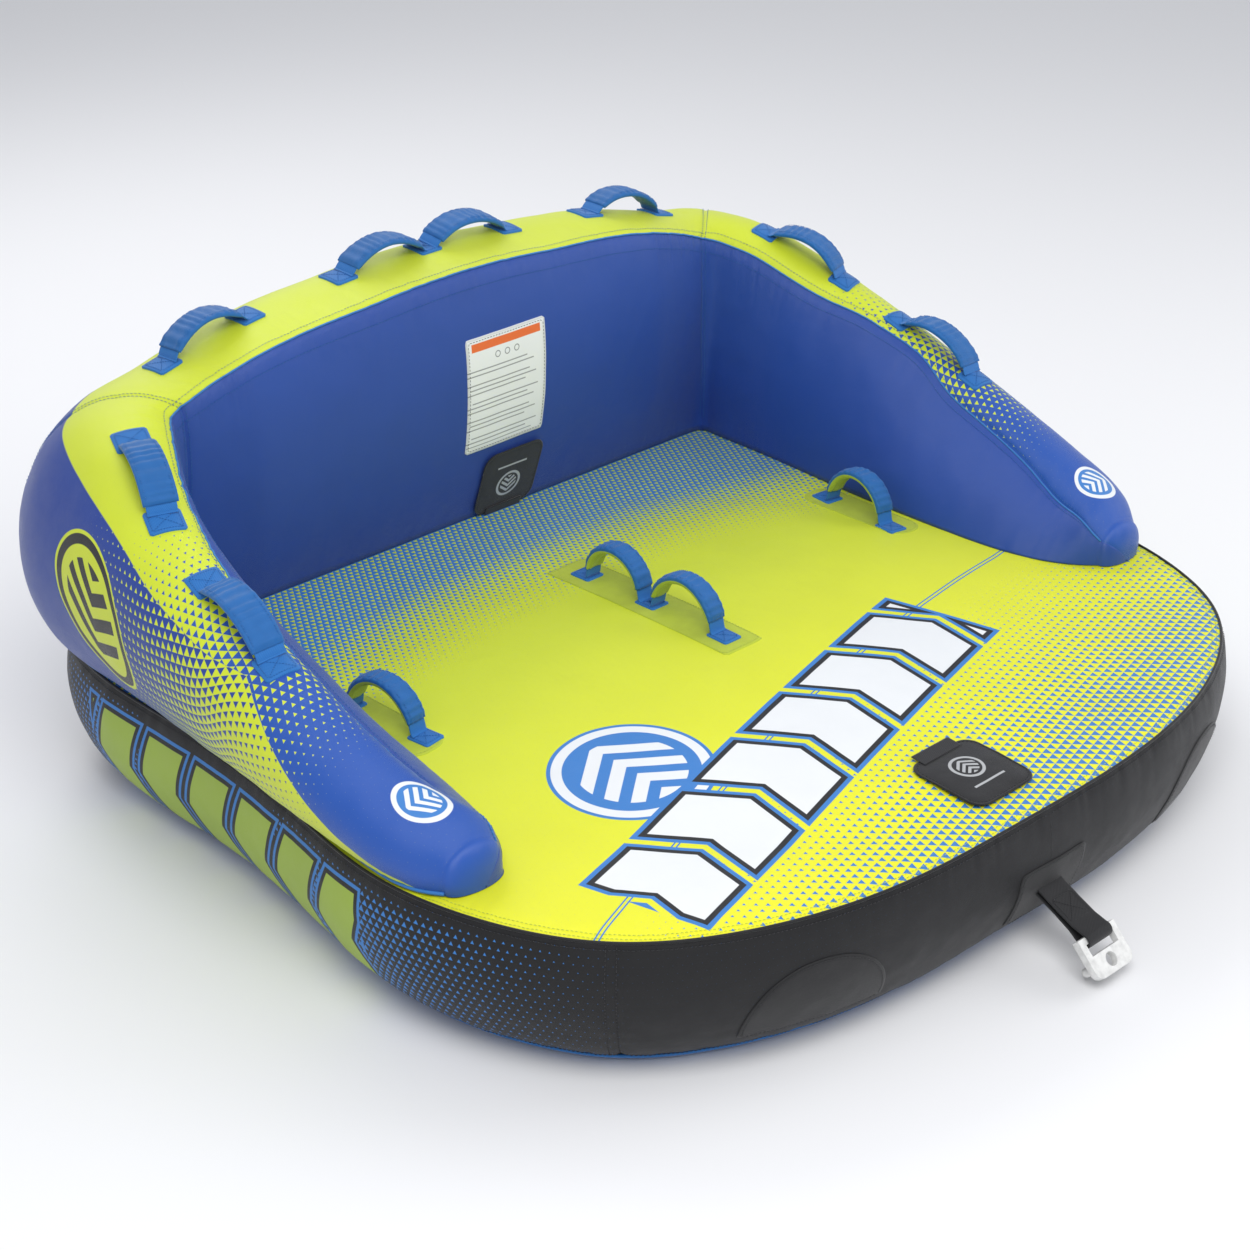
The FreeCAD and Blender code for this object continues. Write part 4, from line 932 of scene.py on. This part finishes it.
def open_hole(item, name, radius=VALVE_HOLE):
    """Cut a valve's hole in a skin: faces inside go, and the rim's points move onto the circle."""
    spot, out = valve_spot(name), flap_frame(name)[2]
    mesh = bmesh.new()
    mesh.from_mesh(item.data)
    inside = []
    for face in mesh.faces:
        offset = face.calc_center_median() - spot
        if offset.length < 0.1 and (offset - out * offset.dot(out)).length < radius:
            inside.append(face)
    bmesh.ops.delete(mesh, geom=inside, context="FACES")
    for vertex in mesh.verts:
        offset = vertex.co - spot
        if offset.length > 0.06 or not vertex.is_boundary:
            continue
        depth = out * offset.dot(out)
        flat = offset - depth
        vertex.co = spot + depth + flat.normalized() * (radius + 0.001)
    mesh.to_mesh(item.data)
    mesh.free()


def make_deck(finish, thread, piping):
    """Deck cover, sunk and puckered along its edge seam, with a hole over its valve."""
    tree = tree_of(cad_mesh("deck_panel"))
    edge = smoothed(outline_at(tree, DECK_EDGE - 0.001), 1.6, closed=True)
    run = lengths(np.concatenate([edge, edge[:1]]))[:-1]
    pucker = ridge(run, 0.020, 6.0)
    reach = np.linalg.norm(edge[:, :2], axis=1)
    spot = valve_spot("deck_valve")
    rows = []
    for share in np.linspace(1.0, 0.0, DECK_RINGS + 1):
        ring = edge.copy()
        ring[:, :2] *= share
        inside = reach * (1 - share)
        for point in ring:
            hit = tree.ray_cast(Vector((point[0] * 0.9995, point[1] * 0.9995, 0.4)), -UP)[0]
            if hit is not None and hit.z > DECK_EDGE - 0.004:
                point[2] = hit.z
            elif (Vector(point) - spot).length < 0.06:
                point[2] = spot.z
            else:
                point[2] = DECK_EDGE
        ring[:, 2] -= 0.0042 * np.clip(1 - inside / 0.035, 0, 1) ** 2
        ring[:, 2] -= 0.0026 * pucker * np.exp(-inside / 0.030)
        calm = np.clip(inside / 0.04, 0, 1)
        ring[:, 2] += noise_at(ring, 6.0, 1.0) * 0.0010 * calm + noise_at(ring, 21.0, 4.0) * 0.0005 * calm
        rows.append(ring)
    rows = np.array(rows)
    item = sheet("deck_skin", rows, finish, Print=rows[:, :, :2])
    open_hole(item, "deck_valve")
    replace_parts(item, "deck_panel")
    up = np.tile(np.array([[0.0, 0.0, 1.0]]), (TURNS, 1))
    lines = [lifted(ring, up, THREAD_LIFT) for ring in rows[1:3]]
    stitches("deck_stitches", lines, thread)
    seam = rows[0].copy()
    seam[:, 2] = BAND_HIGH - 0.0010
    seam = smoothed(seam, 2, closed=True)
    tube("deck_piping", seam, 0.0026, piping, closed=True)
    return item


# ------------------------------------------------------------------ camera, light and floor
def make_stage():
    """Floor, pale world and three soft lamps."""
    floor_mesh = bmesh.new()
    bmesh.ops.create_grid(floor_mesh, x_segments=2, y_segments=2, size=30)
    pale = bpy.data.materials.new("pale_floor")
    pale.use_nodes = True
    shader = pale.node_tree.nodes["Principled BSDF"]
    shader.inputs["Base Color"].default_value = (0.86, 0.86, 0.87, 1)
    shader.inputs["Roughness"].default_value = 0.8
    floor = linked("floor", floor_mesh, pale)
    floor.location.z = CAD_BOX[0][2] - 0.0005
    world = bpy.data.worlds.new("studio")
    world.use_nodes = True
    world.node_tree.nodes["Background"].inputs[0].default_value = (0.93, 0.95, 1.0, 1)
    world.node_tree.nodes["Background"].inputs[1].default_value = 0.62
    bpy.context.scene.world = world
    for name, spot, width, power in (
        ("key", (-1.6, -2.2, 3.4), 2.4, 95),
        ("fill", (3.2, -1.8, 2.4), 2.6, 38),
        ("back", (0.6, 3.0, 3.0), 2.4, 45),
    ):
        lamp = bpy.data.lights.new(name, "AREA")
        lamp.size = width
        lamp.energy = power
        item = bpy.data.objects.new(name, lamp)
        item.location = spot
        item.rotation_euler = (Vector((0, 0, 0.3)) - Vector(spot)).to_track_quat("-Z", "Y").to_euler()
        bpy.context.scene.collection.objects.link(item)
    bpy.context.scene.view_settings.view_transform = "Standard"


def make_camera():
    """Camera in front of the tube, to its right and above it, looking along a fixed direction."""
    turn, lift = math.radians(-43.71), math.radians(27.77)
    back = Vector((math.sin(turn) * math.cos(lift), -math.cos(turn) * math.cos(lift), math.sin(lift)))
    lens = bpy.data.cameras.new("camera")
    lens.lens = 72
    lens.sensor_width = 36
    item = bpy.data.objects.new("camera", lens)
    item.location = (-2.598, -2.585, 2.186)
    item.rotation_euler = back.to_track_quat("Z", "Y").to_euler()
    bpy.context.scene.collection.objects.link(item)
    bpy.context.scene.camera = item


# ------------------------------------------------------------------ straps, pads and patches
def section(width, thick, power, count=28):
    """A rounded rectangular section as (side, up) pairs."""
    pairs = []
    for turn in np.linspace(0, 2 * math.pi, count, endpoint=False):
        across, rise = math.cos(turn), math.sin(turn)
        pairs.append((
            math.copysign(abs(across) ** (2 / power), across) * width / 2,
            math.copysign(abs(rise) ** (2 / power), rise) * thick / 2,
        ))
    return np.array(pairs)


def ribbon(name, line, side, shape, material, body, widths=None, thicks=None, push=None):
    """A section swept along a line, with its width along side. Returns the piece and its normals."""
    line = np.asarray(line, dtype=float)
    count = len(line)
    side = np.broadcast_to(np.asarray(side, dtype=float), line.shape)
    ahead = np.gradient(line, axis=0)
    ahead /= np.maximum(np.linalg.norm(ahead, axis=1, keepdims=True), 1e-9)
    up = np.cross(side, ahead)
    up /= np.maximum(np.linalg.norm(up, axis=1, keepdims=True), 1e-9)
    widths = np.ones(count) if widths is None else np.asarray(widths)
    thicks = np.ones(count) if thicks is None else np.asarray(thicks)
    across = shape[None, :, 0] * widths[:, None]
    rise = shape[None, :, 1] * thicks[:, None]
    if push is not None:
        rise = rise + push(lengths(line)[:, None], across, rise)
    points = line[:, None, :] + side[:, None, :] * across[:, :, None] + up[:, None, :] * rise[:, :, None]
    faces = grid_faces(count, len(shape))
    faces.append(tuple(range(len(shape)))[::-1])
    faces.append(tuple((count - 1) * len(shape) + k for k in range(len(shape))))
    run = np.repeat(lengths(line)[:, None], len(shape), axis=1)
    uv = np.stack([run, across], 2).reshape(-1, 2)
    return piece(name, points.reshape(-1, 3), faces, material, body, {"Print": uv}), up


def bezier(start, leave, arrive, stop, count):
    """Points along a cubic curve."""
    at = np.linspace(0, 1, count)[:, None]
    return ((1 - at) ** 3 * start + 3 * (1 - at) ** 2 * at * leave
            + 3 * (1 - at) * at ** 2 * arrive + at ** 3 * stop)


def rounded_outline(wide, long, corner, count=26):
    """A rounded rectangle about the origin, as evenly stepped pairs."""
    pairs = []
    for centre_x, centre_y, start in (
        (wide / 2 - corner, long / 2 - corner, 0), (corner - wide / 2, long / 2 - corner, 90),
        (corner - wide / 2, corner - long / 2, 180), (wide / 2 - corner, corner - long / 2, 270),
    ):
        for turn in np.radians(np.linspace(start, start + 90, 9)):
            pairs.append((centre_x + corner * math.cos(turn), centre_y + corner * math.sin(turn), 0.0))
    pairs.append(pairs[0])
    return even(np.array(pairs), 4 * count + 1)[:-1, :2]


def draped(pairs, place, tree, reach):
    """Points on a skin under local pairs, and the skin's normals there."""
    origin, ex, ey, ez = place
    found, out = [], []
    for x, y in pairs:
        start = origin + ex * x + ey * y + ez * reach
        hit, normal = tree.ray_cast(start, -ez)[:2]
        if hit is None:
            hit, normal = origin + ex * x + ey * y, ez
        if normal.dot(ez) < 0:
            normal = -normal
        found.append(hit)
        out.append(normal)
    return np.array(found), np.array(out)


def patch(name, node, place, outline, tree, thread, material, lift, reach=0.08, corner=(0.0, 0.0)):
    """A sheet sewn onto a skin, with a stitched edge. corner is where its print starts."""
    rings, inset = 10, 0.006
    rows, uvs = [], []
    edge = [(1.0, -0.0012), (1.0, lift * 0.7)]
    for share, rise in edge + [(share, lift) for share in np.linspace(0.985, 0.0, rings)]:
        pairs = outline * share
        points, out = draped(pairs, place, tree, reach)
        rows.append(points + out * rise)
        uvs.append(pairs - np.array(corner))
    item = sheet(name, rows, material, Print=uvs)
    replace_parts(item, node)
    size = np.abs(outline).max()
    pairs = outline * (1 - inset / size)
    pairs = np.concatenate([pairs, pairs[:1]])
    points, out = draped(pairs, place, tree, reach)
    stitches(f"{name}_stitches", [lifted(points, out, lift + 0.0004)], thread)


def islands_of(node):
    """Corner points of each separate solid in a CAD node's mesh."""
    mesh = cad_copy(node)
    left = set(mesh.verts)
    groups = []
    while left:
        stack = [left.pop()]
        group = []
        while stack:
            vertex = stack.pop()
            group.append(vertex.co.copy())
            for edge in vertex.link_edges:
                other = edge.other_vert(vertex)
                if other in left:
                    left.remove(other)
                    stack.append(other)
        groups.append(np.array(group))
    mesh.free()
    return groups


def make_grip(name, width, thick, sleeve, webbing, thread, tabs, tree, lined):
    """One padded grip: a sleeve on the arch and its webbing roots; returns where its two tabs are sewn.

    A lined grip has its second sleeve material on the underside.
    """
    joint = JOINTS[f"{name}_swing"]
    middle = np.array(joint["pos_m"])
    axis = np.array(joint["axis"])
    axis /= np.linalg.norm(axis)
    points = np.array([tuple(vertex.co) for vertex in cad_mesh(name).vertices]) - middle
    out = points.mean(axis=0)
    out -= axis * (out @ axis)
    out /= np.linalg.norm(out)
    side = np.cross(axis, out)
    along = points @ axis
    chord = along.max() - along.min()
    shift = (along.max() + along.min()) / 2
    rise = (points @ out).max()
    radius = (chord ** 2 / 4 + rise ** 2) / (2 * rise)
    bend = math.asin(min(chord / 2 / radius, 1.0))
    if rise > chord / 2:
        bend = math.pi - bend
    core = radius - thick / 2

    def arch(turns):
        turns = np.asarray(turns)[:, None]
        return (middle + axis * (shift + core * np.sin(turns))
                + out * (rise - radius + core * np.cos(turns)))

    seed = sum(map(ord, name)) * 0.37
    line = arch(np.linspace(-bend * 0.93, bend * 0.93, 64))
    total = lengths(line)[-1]
    ends = np.minimum(lengths(line), total - lengths(line))
    taper = 1 - 0.42 * np.exp(-ends / 0.006)

    def puckers(run, across, rise_now):
        outer = np.clip(rise_now / (thick / 2), 0, 1)
        wave = np.sin(run * 420 + 1.6 * np.sin(run * 90 + seed)) * 0.0011 * outer
        gather = 0.0009 * np.exp(-np.minimum(run, total - run) / 0.012) * np.sin(across * 900 + seed)
        return wave + gather + 0.0005 * np.sin(across * 260 + run * 60 + seed)

    shape = section(width, thick, 3.4, 40)
    pad, up = ribbon(f"{name}_sleeve", line, side, shape, sleeve, name,
                            widths=0.97 + 0.03 * taper, thicks=taper, push=puckers)
    flip = 1.0 if (up[len(up) // 2] @ out) > 0 else -1.0
    for index, face in enumerate(pad.data.polygons):
        column = index % len(shape)
        below = shape[column, 1] * flip < -thick * 0.16
        face.material_index = 1 if below and lined else 0
    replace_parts(pad, name)
    edge = width / 2 - 0.0060
    cut = slice(3, -3)
    seams = [lifted(line[cut] + side * offset, up[cut] * flip, thick * 0.44) for offset in (-edge, edge)]
    sewn = stitches(f"{name}_sleeve_stitches", seams, thread, name,
                    pitch=0.0048, length=0.0033, radius=0.0005)
    strap = section(width * 0.86, 0.0030, 6, 20)
    spots = []
    for end, sign in (("rear", -1.0), ("front", 1.0)):
        foot = arch([sign * bend * 0.90, sign * bend])
        leave = foot[1] - foot[0]
        leave /= np.linalg.norm(leave)
        island = min(tabs, key=lambda group: np.linalg.norm(group.mean(axis=0) - foot[1]))
        spot = island.mean(axis=0)
        hit, normal = tree.find_nearest(Vector(spot))[:2]
        normal = np.array(normal) * (1 if normal.dot(Vector(out)) > 0 else -1)
        reach = (spot - foot[1]) @ axis
        toward = axis * math.copysign(1.0, reach) if abs(reach) > 0.004 else axis * sign
        toward = toward - normal * (toward @ normal)
        toward /= np.linalg.norm(toward)
        seat = np.array(hit) + normal * 0.0042
        start = seat - toward * 0.010
        curve = bezier(start, start - toward * 0.006, foot[1] + leave * 0.008, foot[0], 16)
        link, _ = ribbon(f"{name}_root_{end}", curve, side, strap, webbing, None)
        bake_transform(link)
        spots.append((Vector(seat), Vector(toward), Vector(side), Vector(normal)))
    return spots


def crossed_box(low, high, wide):
    """Runs of a stitched box with a cross in it, each from one (along, across) corner to another."""
    a, b, c, d = (low, -wide), (high, -wide), (high, wide), (low, wide)
    return (a, b), (b, c), (c, d), (d, a), (a, c), (d, b)


def box_stitching(place, wide, long, tree, lift):
    """Lines of a crossed box, laid on a skin."""
    rows = []
    for first, second in crossed_box(-long, long, wide):
        pairs = np.linspace(np.array(first) / 2, np.array(second) / 2, 9)
        points, out = draped(pairs, place, tree, 0.03)
        rows.append(lifted(points, out, lift))
    return rows


def make_grips(rim_tree, deck_tree, finishes):
    """All the grips, with the stitched webbing tab at each of their feet."""
    sleeve, inner, webbing, thread = finishes
    for group, (width, thick), tree, stem, ends in (
        ("arm_grip_tabs_left", RIM_GRIP, rim_tree, "arm_grip_left", ("rear", "front")),
        ("arm_grip_tabs_right", RIM_GRIP, rim_tree, "arm_grip_right", ("rear", "front")),
        ("back_grip_tabs", RIM_GRIP, rim_tree, "back_grip",
         ("left_outer", "left_centre", "right_centre", "right_outer")),
        ("deck_grip_tabs", DECK_GRIP, deck_tree, "deck_grip",
         ("centre_rear", "centre_front", "left", "right")),
    ):
        tabs = islands_of(group)
        spots = []
        on_deck = group == "deck_grip_tabs"
        pads = [sleeve, inner if on_deck else sleeve]
        for end in ends:
            spots += make_grip(f"{stem}_{end}", width, thick, pads, webbing, thread, tabs, tree, on_deck)
        rows, first = [], None
        for index, place in enumerate(spots):
            outline = rounded_outline(0.046, width * 1.02, 0.004, 10)
            outline_rows = [outline * share for share in (1.0, 1.0, 0.97, 0.6, 0.3, 0.0)]
            lifts = (-0.001, 0.0030, 0.0036, 0.0038, 0.0038, 0.0038)
            ring = []
            for pairs, lift in zip(outline_rows, lifts):
                points, out = draped(pairs, place, tree, 0.03)
                ring.append(points + out * lift)
            tab = sheet(f"{group}_{index}", ring, webbing, Print=outline_rows)
            if first is None:
                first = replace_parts(tab, group)
            rows += box_stitching(place, width * 0.82, 0.036, tree, 0.0043)
        stitches(f"{group}_stitches", rows, thread, pitch=0.0045, length=0.0032, radius=0.0005)


FLAP_WIDE, FLAP_LONG, FLAP_CORNER = 0.140, 0.142, 0.026
FLAP_INK = (0.42, 0.43, 0.44)


def flap_finish():
    """Black neoprene with a pale generic badge and a thin printed border."""
    finish = Finish("flap_print", roughness=0.62, sheen=0.25, specular=0.3)
    x, y = finish.uv("Print")
    colour = ring_emblem(finish, finish.mix(BLACK, (0.014, 0.014, 0.016), finish.cloud(40.0)), x, y,
                         (0.0, 0.012), 0.028, FLAP_INK, (0.01, 0.01, 0.011), FLAP_INK)
    bar = y.between(-0.034, -0.030) * abs(x).below(0.034)
    colour = finish.mix(colour, FLAP_INK, bar)
    finish.colour(colour, 0.1)
    finish.weave("Print", 0.0011, 0.00012)
    finish.creases(26.0, 0.0012)
    return finish.material


def make_flap(name, material, webbing, thread, full):
    """A valve's soft cover: a rounded sheet with a bound edge, and the strip it folds on.

    full scales its thickness: the back rest's flap folds down close to the deck, so it is thinner.
    """
    hinge, leaf, out = flap_frame(name)
    body = f"{name}_flap"
    low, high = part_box(body)
    centre = (low + high) / 2
    if (centre - hinge).dot(leaf) < 0:
        leaf = -leaf
    across = leaf.cross(out)
    outline = rounded_outline(FLAP_WIDE, FLAP_LONG, FLAP_CORNER, 30)
    middle = hinge + leaf * (FLAP_LONG / 2)
    depth = min((vertex.co - middle).dot(out) for vertex in cad_mesh(body).vertices)

    def fullness(y):
        """The sheet is pressed thin along its hinge, so that it can fold back."""
        return full * (0.35 + 0.65 * min(max((y + FLAP_LONG / 2) / 0.060, 0.0), 1.0))

    rows, uvs = [], []
    for share, rise in ((0.0, 0.0006), (0.6, 0.0006), (0.97, 0.0006), (1.0, 0.0022), (0.985, 0.0041),
                        (0.955, 0.0043), (0.94, 0.0034), (0.92, 0.0038), (0.7, 0.0050), (0.45, 0.0060),
                        (0.2, 0.0064), (0.0, 0.0065)):
        for x, y in outline * share:
            wave = noise.noise((x * 22, y * 22, 2.0)) * 0.0010 * (1 if rise > 0.003 else 0)
            rows.append(middle + across * x + leaf * y + out * (depth + (rise + wave) * fullness(y)))
            uvs.append((x, -y) if rise > 0.003 else (x + 0.5, -y))
    rows = np.array(rows).reshape(-1, len(outline), 3)
    item = sheet(f"{body}_cover", rows, material, body, Print=uvs)
    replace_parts(item, body)
    rim = outline * 0.925
    rim = np.concatenate([rim, rim[:1]])
    line = np.array([
        tuple(middle + across * x + leaf * y + out * (depth + 0.0044 * fullness(y))) for x, y in rim
    ])
    stitches(f"{body}_stitches", [(line, np.tile(np.array(out), (len(line), 1)))], thread, body)
    strip = [
        tuple(hinge - leaf * 0.014 + leaf * 0.028 * share + out * (depth + 0.0030))
        for share in np.linspace(0, 1, 12)
    ]
    bend, _ = ribbon(f"{body}_fold", strip, tuple(across), section(0.086, 0.0016, 6, 20), webbing, None)
    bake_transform(bend)


def make_tow(webbing, thread):
    """Folded webbing from the band to a loop round the hook's bar."""
    root = np.array(JOINTS["tow_strap_hinge"]["pos_m"])
    end = np.array(JOINTS["tow_hook_hinge"]["pos_m"])
    ahead = (end - root) / np.linalg.norm(end - root)
    reach = np.linalg.norm(end - root)
    side = np.array([1.0, 0.0, 0.0])
    up = np.cross(side, ahead)
    up *= math.copysign(1.0, up[2])
    path = [(-0.020, 0.0042), (0.0, 0.0044), (reach * 0.35, 0.0040), (reach * 0.7, 0.0050)]
    for turn in np.radians(np.linspace(120, -120, 21)):
        path.append((reach + 0.0108 * math.cos(turn), 0.0108 * math.sin(turn)))
    path += [(reach * 0.7, -0.0050), (reach * 0.35, -0.0040), (0.0, -0.0044), (-0.020, -0.0042)]
    line = even(np.array([root + ahead * s + up * h for s, h in path]), 90)
    item, _ = ribbon("tow_strap_webbing", line, side, section(0.056, 0.0030, 6, 24), webbing, None)
    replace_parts(item, "tow_strap")
    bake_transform(item)
    rows = []
    for height, sign in ((0.0060, 1.0), (-0.0060, -1.0)):
        for (s0, x0), (s1, x1) in crossed_box(0.016, 0.060, 0.022):
            points = np.array([root + ahead * s + side * x + up * height for s, x in
                               zip(np.linspace(s0, s1, 8), np.linspace(x0, x1, 8))])
            rows.append((points, np.tile(up * sign, (8, 1))))
    stitches("tow_strap_stitches", rows, thread, "tow_strap", pitch=0.0045, length=0.0032)


def shrunk(node, material, inward, hollow):
    """A bladder's look: its own mesh drawn in a little, so that it stays under the covers.

    A point that faces another wall nearer than hollow is on the bladder's inside.
    """
    mesh = cad_copy(node)
    mesh.normal_update()
    tree = BVHTree.FromBMesh(mesh)
    moves = []
    for vertex in mesh.verts:
        across = tree.ray_cast(vertex.co + vertex.normal * 0.001, vertex.normal, hollow)[0]
        moves.append((vertex, vertex.co + vertex.normal * (inward if across else -inward)))
    for vertex, spot in moves:
        vertex.co = spot
    item = linked(f"{node}_film", mesh, material)
    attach(item, "root")
    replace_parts(item, node)


def film(node, rows, share, material):
    """The rim bladder's look: the rim's own rings drawn in, with closed ends."""
    middle = rows.mean(axis=1, keepdims=True)
    drawn = (middle + (rows - middle) * share)[12:-12]
    points = np.concatenate([
        np.array(nose_rows(drawn[0], FORWARD))[::-1], drawn, np.array(nose_rows(drawn[-1], FORWARD)),
    ])
    item = sheet(f"{node}_film", points, material, Print=np.zeros((*points.shape[:2], 2)))
    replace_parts(item, node)


def softened(node, width, material):
    """A moulded part's look: its CAD mesh with rounded edges."""
    mesh = cad_copy(node)
    bmesh.ops.dissolve_limit(mesh, angle_limit=math.radians(1.0), verts=mesh.verts, edges=mesh.edges)
    item = linked(f"{node}_moulded", mesh, material)
    item.data.polygons.foreach_set("use_smooth", [True] * len(item.data.polygons))
    bevel = item.modifiers.new("edges", "BEVEL")
    bevel.width = width
    bevel.segments = 3
    bevel.limit_method = "ANGLE"
    bevel.angle_limit = math.radians(35)
    bevel.harden_normals = True
    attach(item, node)
    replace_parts(item, node)


def make_zipper(tape, teeth, tree):
    """Zipper tape on the rear wall and its two rows of teeth."""
    low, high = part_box("zipper_tape")
    front = high.y
    rows = []
    for x in np.linspace(low.x, high.x, 121):
        hit = tree.ray_cast(Vector((x, 1.2, (low.z + high.z) / 2)), Vector((0, -1, 0)))[0]
        back = min(hit.y, low.y) - 0.0015
        rows.append([(x, back, low.z - 0.003), (x, low.y, low.z), (x, front, low.z + 0.0006),
                     (x, front, high.z - 0.0006), (x, low.y, high.z), (x, back, high.z + 0.003)])
    rows = np.array(rows)
    item = sheet("zipper_tape_cloth", rows, tape, Print=rows[:, :, [0, 2]])
    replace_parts(item, "zipper_tape")
    low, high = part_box("zipper_teeth")
    middle = (low.z + high.z) / 2
    points, faces = [], []
    for index, x in enumerate(np.arange(low.x + 0.001, high.x - 0.001, 0.0015)):
        bottom, top = (low.z, middle + 0.001) if index % 2 else (middle - 0.001, high.z)
        start = len(points)
        points += [(x + a * 0.0011, b, c) for a in (0, 1) for b in (low.y, high.y) for c in (bottom, top)]
        faces += [tuple(start + k for k in face) for face in
                  ((0, 1, 3, 2), (4, 6, 7, 5), (0, 4, 5, 1), (2, 3, 7, 6), (0, 2, 6, 4), (1, 5, 7, 3))]
    item = piece("zipper_teeth_coil", points, faces, teeth, "root", {"Print": np.zeros((len(points), 2))},
                 smooth=False)
    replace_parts(item, "zipper_teeth")


def paint(node, material):
    """Give a CAD node that stays in view its finish."""
    for entry in frame["nodes"][node].material_slots:
        entry.material = material


def make_patches(rim_tree, deck_tree, band_tree):
    """The sheets sewn onto the covers: under the deck grips, the care label, at the bow and the tow strap."""
    for name, x, low_y, high_y, wide, corner in (
        ("deck_patch_centre", 0.0, -0.148, 0.284, 0.086, 0.006),
        ("deck_patch_left", 0.556, -0.027, 0.215, 0.074, 0.030),
        ("deck_patch_right", -0.556, -0.027, 0.215, 0.074, 0.030),
    ):
        place = (Vector((x, (low_y + high_y) / 2, DECK_EDGE)), X, Y, UP)
        patch(f"{name}_cloth", name, place, rounded_outline(wide, high_y - low_y, corner), deck_tree,
              THREAD_PALE, PATCH_YELLOW, lift=0.0011)
    wide, tall = 0.183, 0.217
    place = (Vector((0.065, 0.36, 0.515)), X, UP, -Y)
    patch("care_label_cloth", "care_label", place, rounded_outline(wide, tall, 0.004), rim_tree, THREAD_DARK,
          label_finish(), lift=0.0013, corner=(-wide / 2, -tall / 2))
    for side, name in ((1, "bow_patch_left"), (-1, "bow_patch_right")):
        turn = math.radians(18 * side)
        along = Vector((math.cos(turn), math.sin(turn), 0))
        ahead = Vector((math.sin(turn), -math.cos(turn), 0))
        arc = [
            (0.1175 * math.cos(bow), 0.120 * math.sin(bow) ** 0.8 - 0.045, 0.0)
            for bow in np.linspace(0, math.pi, 60)
        ]
        arc = even(np.array(arc + [arc[0]]), 97)[:-1, :2]
        start = Vector((0.345 * side, -0.560 + 0.345 * 0.42, 0.107))
        patch(f"{name}_cloth", name, (start, along, UP, ahead), arc, band_tree, THREAD_DARK, PATCH_BLACK,
              lift=0.0018, reach=0.5)
    place = (Vector((0.008, -0.70, 0.108)), X, UP, -Y)
    patch("tow_patch_cloth", "tow_patch", place, rounded_outline(0.150, 0.104, 0.010), band_tree, THREAD_DARK,
          PATCH_BLACK, lift=0.0020, reach=0.3)


# ------------------------------------------------------------------ build
make_stage()
make_camera()
THREAD = cloth_finish("thread_blue", TEAL, 0.7)
THREAD_DARK = cloth_finish("thread_dark", (0.03, 0.03, 0.034), 0.7)
THREAD_PALE = cloth_finish("thread_pale", (0.55, 0.66, 0.10), 0.7)
PIPING_BLUE = cloth_finish("piping_blue", BLUE_LIGHT, 0.5)
PIPING_BLACK = cloth_finish("piping_black", BLACK, 0.5)
STRAP_BLUE = webbing_finish("webbing_blue", TEAL, BLUE_LIGHT)
STRAP_BLACK = webbing_finish("webbing_black", (0.008, 0.008, 0.009), (0.03, 0.03, 0.033))
PAD_BLUE = cloth_finish("pad_blue", TEAL, 0.55, 0.0018, 0.0003)
PAD_GREEN = cloth_finish("pad_green", (0.40, 0.52, 0.05), 0.6, 0.0018, 0.0003)
PATCH_YELLOW = cloth_finish("patch_yellow", (0.52, 0.62, 0.035), 0.5)
PATCH_BLACK = cloth_finish("patch_black", (0.011, 0.011, 0.012), 0.6)
MOULDED = solid_finish("moulded_black", (0.012, 0.012, 0.013), 0.42)
RUBBER = solid_finish("rubber_grey", (0.05, 0.05, 0.052), 0.6)
METAL = solid_finish("plated_zinc", (0.32, 0.32, 0.33), 0.35, metal=1.0)
BRASS = solid_finish("brass", (0.60, 0.44, 0.18), 0.35, metal=1.0)
NYLON = solid_finish("white_nylon", (0.78, 0.78, 0.76), 0.38, coat=0.1)
VINYL = solid_finish("bladder_vinyl", (0.05, 0.06, 0.08), 0.35)
FUZZ = cloth_finish("fastener_fuzz", (0.02, 0.02, 0.022), 0.9, 0.0009, 0.0006, sheen=0.5)

rim_items, rim_grid = make_rim(THREAD, PIPING_BLUE)
open_hole(rim_items[1], "back_valve")
band_low_row, band_item = make_band(band_finish(), THREAD_DARK)
make_bottom(cloth_finish("bottom_blue", (0.02, 0.12, 0.36)), PIPING_BLUE, band_low_row)
deck_item = make_deck(deck_finish(), THREAD_PALE, PIPING_BLACK)
shrunk("base_bladder", VINYL, 0.008, 2.5)
film("rim_bladder", rim_grid, 0.90, VINYL)

rim_tree = tree_of(*(item.data for item in rim_items))
deck_tree = tree_of(deck_item.data)
band_tree = tree_of(band_item.data)
make_grips(rim_tree, deck_tree, (PAD_BLUE, PAD_GREEN, STRAP_BLUE, THREAD))

make_patches(rim_tree, deck_tree, band_tree)

FLAP = flap_finish()
for name, full in (("deck_valve", 1.0), ("back_valve", 0.34)):
    make_flap(name, FLAP, STRAP_BLACK, THREAD_DARK, full)
    paint(f"{name}_body", MOULDED)
    paint(f"{name}_cap", MOULDED)
    paint(f"{name}_stem", RUBBER)
    paint(f"{name}_fastener", FUZZ)
paint("drain_grommets", BRASS)
make_zipper(STRAP_BLACK, MOULDED, band_tree)
paint("zipper_slider", METAL)
paint("zipper_pull", METAL)
make_tow(STRAP_BLACK, THREAD_DARK)
softened("tow_hook", 0.0022, NYLON)
